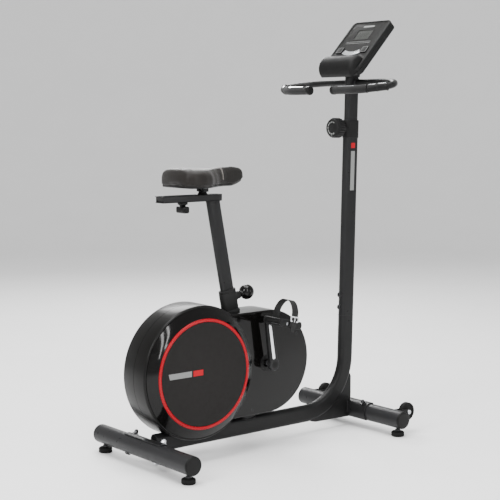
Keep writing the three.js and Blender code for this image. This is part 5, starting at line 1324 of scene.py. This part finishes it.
def build_rail():
    post = piece("seat_post_tube", bar(on_seat, 50, 20, 384, RAIL_Z + 1, 16), STEEL, "seat_post",
        "seat_post", bevel=0.5)
    holes = []
    for i in range(-2, 5):
        lean = math.atan(SEAT_SLOPE)
        up = Vector((-math.sin(lean), 0, math.cos(lean))) * 25 * i
        at = on_seat(0, 0, PIN_Z) + up
        ahead = (on_seat(1, 0, PIN_Z) - on_seat(0, 0, PIN_Z)).normalized()
        holes.append(turned([(0, 21), (5.3, 21), (5.3, 30), (0, 30)], at, ahead, 28))
    above_floor = brick((-100, -60, RAIL_Z + 0.8), (300, 60, RAIL_Z + 60), 0.5)
    combine(post, "DIFFERENCE", above_floor, *holes)
    smooth(post, 32)
    ring = [Vector((on_seat(0, 0, RAIL_Z - 0.6).x + a * 1.02, b * 1.02, RAIL_Z - 0.6))
        for a, b in oval(51, 20, 12)]
    piece("rail_weld", weld(ring + ring[:1], 2.4), STEEL_DARK, "seat_post")
    top, level = RAIL_Z + RAIL_HIGH, Matrix.Identity(4)
    nose = [(278 + 22 * math.cos(math.radians(a)), 22 * math.sin(math.radians(a)))
        for a in range(-90, 91, 15)]
    walls = [brick((62, -22, RAIL_Z), (88, 22, RAIL_Z + 2.5), 0.5),
        brick((212, -22, RAIL_Z), (278, 22, RAIL_Z + 2.5), 0.5)]
    for sign in (-1, 1):
        near, lip, edge = sign * 7, sign * 13, sign * 22
        walls.append(brick((86, min(near, edge), RAIL_Z), (214, max(near, edge), RAIL_Z + 2.5), 0.5))
        walls.append(brick((64, min(sign * 19.5, edge), RAIL_Z), (278, max(sign * 19.5, edge), top), 0.6))
        walls.append(brick((60, min(lip, edge), top - 2.2), (278, max(lip, edge), top), 0.6))
    walls.append(flat(nose, level, RAIL_Z, RAIL_Z + 2.5, 0.6))
    walls.append(flat(ring_sector(278, 0, 19.5, 22, -90, 90), level, RAIL_Z, top, 0.5))
    walls.append(flat(ring_sector(278, 0, 13, 22, -90, 90), level, top - 2.2, top, 0.6))
    piece("seat_rail", joined(*walls), STEEL, "seat_post")
    cap = flat([(66.5, RAIL_Z + 2.8), (69.6, RAIL_Z + 2.8), (66.4, RAIL_Z + 18.2),
        (63.4, RAIL_Z + 18.2)], FROM_SIDE, -19.2, 19.2, 0.6)
    piece("rail_end_plug", cap, PLASTIC_DARK, "seat_post")
    gusset = flat([(262, RAIL_Z + 0.4), (300 - 22, RAIL_Z + 0.4), (262, RAIL_Z - 26),
        (252, RAIL_Z - 24)], FROM_SIDE, -2, 2, 0.6)
    piece("rail_gusset", gusset, STEEL, "seat_post")


def build_carriage():
    low, high = RAIL_Z + 3, RAIL_Z + 18
    block = brick((134, -19, low), (246, 19, high), 1.2)
    stalk = turned([(0, high - 2), (12, high - 2), (12, high + 8), (11, high + 10), (11, SADDLE_Z - 13),
        (0, SADDLE_Z - 13)], Vector((CLAMP_X, 0, 0)), Z, 48)
    forks = [brick((CLAMP_X - 9, y - 2.5, SADDLE_Z - 17), (CLAMP_X + 9, y + 2.5, SADDLE_Z - 1.5), 1)
        for y in (-9, 9)]
    piece("carriage_block", joined(block, stalk, *forks), STEEL_DARK, "saddle_carriage",
        "saddle_carriage")
    flare = turned([(0, high + 3), (15, high + 3), (15.6, high + 3.6), (15.6, high + 5),
        (13.6, high + 8), (12, high + 12), (0, high + 12)], Vector((CLAMP_X, 0, 0)), Z, 64)
    piece("carriage_collar", flare, PLASTIC, "saddle_carriage", sharp=50)
    at = Vector((CLAMP_X, 0, SADDLE_Z - 8))
    piece("clamp_pin", turned([(0, -19.9), (3, -19.9), (3, 19.9), (0, 19.9)], at, Y, 24), ZINC,
        "saddle_carriage")


def build_lock():
    at = Vector((LOCK_X, 0, 0))
    under = RAIL_Z - 0.5
    body = [(0, under - 20), (9, under - 20), (9.4, under - 12), (11, under - 9), (15.4, under - 7),
        (16, under - 6), (16, under - 0.8), (15.4, under), (4, under), (4, RAIL_Z + 16), (0, RAIL_Z + 16)]
    piece("lock_knob", turned(body, at, Z, 64), PLASTIC_DARK, "saddle_lock",
        "saddle_lock", sharp=50)
    waist = []
    for a, b in rounded(24, 54, 11.5, 10):
        squeeze = 1 - 0.24 * math.cos(math.pi * min(1, abs(b) / 20)) if abs(b) < 20 else 1.1
        waist.append((a * min(1, 0.86 * squeeze), b))
    place = Matrix.Translation((LOCK_X, 0, 0))
    piece("lock_tee", flat(waist, place, under - 34, under - 13, 5, 5), PLASTIC_DARK, "saddle_lock")


# ---------- saddle ----------
PLAN = [(0, .42), (.03, .72), (.1, .93), (.2, 1), (.32, .93), (.45, .68), (.58, .43), (.72, .29),
    (.88, .235), (.96, .19), (1, .1)]
SADDLE_REAR, SADDLE_NOSE, SADDLE_HALF = 108, 390, 100


def half_width(share):
    """The saddle's half width at a share of its length, from rear to nose."""
    share = min(1.0, max(0.0, share))
    for (u0, w0), (u1, w1) in zip(PLAN, PLAN[1:]):
        if share <= u1:
            t = (share - u0) / (u1 - u0)
            t = t * t * (3 - 2 * t) * 0.35 + t * 0.65
            return (w0 + (w1 - w0) * t) * SADDLE_HALF
    return PLAN[-1][1] * SADDLE_HALF


def plan_outline(inset, count=56):
    """The saddle seen from above, drawn in by an inset, its ends rounded."""
    points = []
    for k in range(count + 1):
        share = 0.5 - 0.5 * math.cos(math.pi * k / count)
        x = SADDLE_REAR + inset + share * (SADDLE_NOSE - SADDLE_REAR - 2 * inset)
        true = (x - SADDLE_REAR) / (SADDLE_NOSE - SADDLE_REAR)
        edge = min(1.0, (share / 0.012) ** 0.5) * min(1.0, ((1 - share) / 0.02) ** 0.5)
        points.append((x, max(0.6, (half_width(true) - inset) * edge)))
    return [(x, -y) for x, y in points] + [(x, y) for x, y in reversed(points[1:-1])]


def crown(x, y):
    """Height of the saddle's top: low in the middle, up at the tail and at the nose."""
    share = (x - SADDLE_REAR) / (SADDLE_NOSE - SADDLE_REAR)
    long = 47 + 4 * math.exp(-((share - 0.1) / 0.16) ** 2) + 2 * math.exp(-((share - 0.93) / 0.1) ** 2)
    dip = 2 * math.exp(-((share - 0.5) / 0.2) ** 2)
    wide = max(8.0, half_width(share))
    across = min(1.0, abs(y) / wide)
    fall = (13 if share < 0.55 else 10) * across ** 3.2
    groove = 2.2 * math.exp(-(y / 9) ** 2) * math.exp(-((share - 0.34) / 0.26) ** 4)
    return long - dip - fall - groove


def pad_solid():
    """The pad before it is filled: a crowned loaf on the base."""
    low = SADDLE_Z + 3.5
    rings = []
    levels = ((7, 0.0, 0), (2.5, 0.0, 3), (1.4, 0.1, 0), (1.2, 0.3, 0), (1.6, 0.5, 0), (3, 0.72, 0),
        (7, 0.88, 0), (14, 0.965, 0), (26, 1.0, 0))
    for inset, share, lift in levels:
        ring = []
        for x, y in plan_outline(inset):
            nose = max(0.0, (x - 330) / 60)
            floor = low + lift + 22 * nose ** 1.5
            top = SADDLE_Z + 9.5 + crown(x, y)
            ring.append(Vector((x, y, floor + (top - floor) * share)))
        rings.append(ring)
    return lofted(rings)


def fill_pad(made):
    """Swells the pad like stuffing under its cover; no point moves more than 5 mm."""
    before = made.data.copy()
    cloth = made.modifiers.new("stuffing", "CLOTH")
    settings = cloth.settings
    settings.effector_weights.gravity = 0
    settings.use_pressure = True
    settings.uniform_pressure_force = 4
    settings.quality = 6
    settings.mass = 0.3
    settings.tension_stiffness = 30
    settings.compression_stiffness = 30
    settings.bending_stiffness = 3
    cloth.point_cache.frame_start = 1
    cloth.point_cache.frame_end = 20
    scene = bpy.context.scene
    for step in range(1, 21):
        scene.frame_set(step)
    applied(made)
    scene.frame_set(1)
    for vertex, rest in zip(made.data.vertices, before.vertices):
        moved_by = vertex.co - rest.co
        if moved_by.length > 0.005:
            vertex.co = rest.co + moved_by.normalized() * 0.005


def build_saddle():
    pad = piece("saddle_cover", pad_solid(), VINYL, "saddle", "saddle_pad", sharp=180)
    remesh = pad.modifiers.new("even_mesh", "REMESH")
    remesh.mode = "VOXEL"
    remesh.voxel_size = 0.0045
    applied(pad)
    soften = pad.modifiers.new("soft", "SMOOTH")
    soften.factor = 0.5
    soften.iterations = 6
    applied(pad)
    fill_pad(pad)
    soften = pad.modifiers.new("settled", "SMOOTH")
    soften.factor = 0.5
    soften.iterations = 4
    applied(pad)
    fine = pad.modifiers.new("fine", "SUBSURF")
    fine.levels = fine.render_levels = 1
    applied(pad)
    shape_pad(pad)
    pad.data.materials.clear()
    pad.data.materials.append(VINYL)
    pad.data.materials.append(VINYL_NOSE)
    for face in pad.data.polygons:
        middle = drawing(face.center)
        face.material_index = 1 if middle.x > seam_x(middle.y) else 0
    pad.data.polygons.foreach_set("use_smooth", [True] * len(pad.data.polygons))
    build_piping(pad)
    build_base()


def seam_x(y):
    """Where the seam crosses the saddle: it bows towards the tail at the sides."""
    return 292 - 0.006 * y * y


def shape_pad(pad):
    """Grooves the pad along its seams and limits it to its CAD box, with a few millimetres over."""
    low, high = box("saddle_pad")
    for vertex in pad.data.vertices:
        p = drawing(vertex.co)
        cross = math.exp(-((p.x - seam_x(p.y)) / 3.2) ** 2)
        p.z -= 1.5 * cross * (1 if p.z > SADDLE_Z + 20 else 0)
        rim = math.exp(-((p.z - SADDLE_Z - 9.5) / 1.8) ** 2) * (p.x < 330)
        middle = Vector((min(max(p.x, 150), 370), 0, p.z))
        away = p - middle
        if away.length > 12:
            p -= away.normalized() * (1.4 * rim)
        p.z = max(low.z - 6, min(high.z + 1.5, p.z))
        p.x = max(low.x - 2, min(high.x + 2, p.x))
        vertex.co = Vector(((p.x + REAR_X) * MM, p.y * MM, p.z * MM))


def build_piping(pad):
    """A pale bead and stitches along the cross seam, and a dark bead around the lower edge."""
    tree = BVHTree.FromPolygons([drawing(v.co) for v in pad.data.vertices],
                                [tuple(f.vertices) for f in pad.data.polygons])
    bead = []
    for k in range(61):
        angle = math.pi * (k / 60)
        aside = Vector((0, -math.cos(angle), math.sin(angle) * 0.9 + 0.08)).normalized()
        y_guess = -math.cos(angle) * 30
        origin = Vector((seam_x(y_guess), 0, SADDLE_Z + 19)) + aside * 120
        hit, normal, _, _ = tree.ray_cast(origin, -aside)
        if hit is not None:
            bead.append(hit + normal * 0.2)
    piece("saddle_piping", swept(circle(1.5, 10), bead, X), PIPING, "saddle")
    seams = []
    for offset in (-4.2, 4.2):
        for p, q in zip(bead[2:-3:1], bead[3:-2:1]):
            a, b = p.lerp(q, 0.15), p.lerp(q, 0.8)
            shift = X * offset
            ends = [tree.find_nearest(s + shift)[0] for s in (a, b)]
            if (ends[1] - ends[0]).length > 0.4:
                seams.append(swept(circle(0.32, 6), [ends[0], ends[1]], X))
    piece("saddle_stitches", joined(*seams), PIPING, "saddle")
    rim = []
    for x, y in plan_outline(1, 60):
        level = Vector((x, y, SADDLE_Z + 9.4 + 22 * max(0.0, (x - 330) / 60) ** 1.5))
        hit = tree.find_nearest(level)[0]
        rim.append(hit)
    piece("saddle_rim_bead", swept(circle(1.2, 8), rim + rim[:1], Z), VINYL_NOSE, "saddle")


def build_base():
    rings = []
    for inset, z in ((26, 0.4), (15, 0), (12, 0.4), (9.4, 2.6), (8.6, 6.5), (9.2, 9.2)):
        rings.append([Vector((x, y, SADDLE_Z + z + 20 * max(0.0, (x - 330) / 60) ** 1.5))
            for x, y in plan_outline(inset)])
    piece("saddle_shell", lofted(rings), PLASTIC_DARK, "saddle", "saddle_base")
    ears = [brick((CLAMP_X - 10, min(s * 14, s * 20), SADDLE_Z - 15),
        (CLAMP_X + 10, max(s * 14, s * 20), SADDLE_Z + 3), 2.5) for s in (-1, 1)]
    piece("saddle_ears", joined(*ears), STEEL_DARK, "saddle")


# ---------- carried-over CAD nodes, floor, lights and camera ----------
def dress_cad():
    """Gives every CAD node a node material; most are out of sight inside the housing."""
    inner = {"flywheel": IRON, "flywheel_axle": ZINC, "crank_axle": ZINC, "crank_bearing": IRON,
        "drive_belt": RUBBER,
             "drive_pulley": PLASTIC, "magnet_bracket": ZINC, "tension_cable": RUBBER}
    for name in frame["nodes"]:
        node = bpy.data.objects[name]
        look = inner.get(name, STEEL)
        for place in node.material_slots:
            place.material = look
        if not node.material_slots:
            node.data.materials.append(look)


def build_floor():
    look = Look("studio_floor", (0.9, 0.9, 0.9), 0.6)
    look.color(look.mix(look.noise(3, 2), (0.88, 0.88, 0.88), (0.92, 0.92, 0.92)))
    mesh = bpy.data.meshes.new("studio_floor")
    cove = ([(0, 0), (6, 0)]
        + [(6 + 3 * math.sin(a), 3 - 3 * math.cos(a)) for a in (math.radians(6 * k) for k in range(1, 16))])
    points, faces = turned(cove + [(9, 6)], Vector((0, 0, 0)), Z, 96)
    mesh.from_pydata(points, [], faces[:-96])
    mesh.polygons.foreach_set("use_smooth", [True] * len(mesh.polygons))
    floor = bpy.data.objects.new("studio_floor", mesh)
    mesh.materials.append(look.material)
    bpy.context.scene.collection.objects.link(floor)


def softbox(name, place, target, wide, high, power):
    data = bpy.data.lights.new(name, "AREA")
    data.shape = "RECTANGLE"
    data.size = wide
    data.size_y = high
    data.energy = power
    light = bpy.data.objects.new(name, data)
    light.location = place
    light.rotation_euler = (Vector(target) - Vector(place)).to_track_quat("-Z", "Y").to_euler()
    bpy.context.scene.collection.objects.link(light)


def build_light():
    softbox("key", (-3.6, -0.6, 2.6), (0, 0, 0.6), 1.2, 2.0, 110)
    softbox("fill", (1.9, -3.8, 1.7), (0.2, 0, 0.6), 1.0, 2.0, 30)
    softbox("rim", (1.6, 3.0, 2.6), (0, 0, 0.7), 1.6, 1.2, 90)
    softbox("top", (-0.2, 0.2, 4.4), (0, 0, 0), 3.4, 3.4, 330)
    softbox("strip_near", (-1.35, -2.8, 2.1), (0.1, 0, 0.3), 0.16, 2.6, 34)
    softbox("strip_far", (-0.9, -2.9, 2.4), (0.1, 0, 0.3), 0.16, 2.6, 34)
    world = bpy.data.worlds.new("studio")
    world.use_nodes = True
    background = world.node_tree.nodes["Background"]
    background.inputs["Color"].default_value = (1, 1, 1, 1)
    background.inputs["Strength"].default_value = 0.62
    bpy.context.scene.world = world


def build_camera():
    data = bpy.data.cameras.new("view")
    data.sensor_width = 36
    data.lens = 89.7
    data.clip_end = 50
    camera = bpy.data.objects.new("view", data)
    place = Vector((-2.614, -3.147, 1.087))
    ahead = Vector((0.6271, 0.7716, -0.1066))
    camera.location = place
    camera.rotation_euler = ahead.to_track_quat("-Z", "Y").to_euler()
    bpy.context.scene.collection.objects.link(camera)
    bpy.context.scene.camera = camera


RUBBER_STRAP = rubber("strap_rubber", 0.014, 0.6)
dress_cad()
build_camera()
build_frame()
build_stabilisers()
build_post()
build_collar()
build_knob()
build_handlebar()
build_console()
build_bracket()
build_housing()
build_trim()
for side_name, side_sign in SIDES:
    build_crank(side_name, side_sign)
    build_pedal(side_name, side_sign)
build_sleeve()
build_pin()
build_rail()
build_carriage()
build_lock()
build_saddle()
build_floor()
build_light()
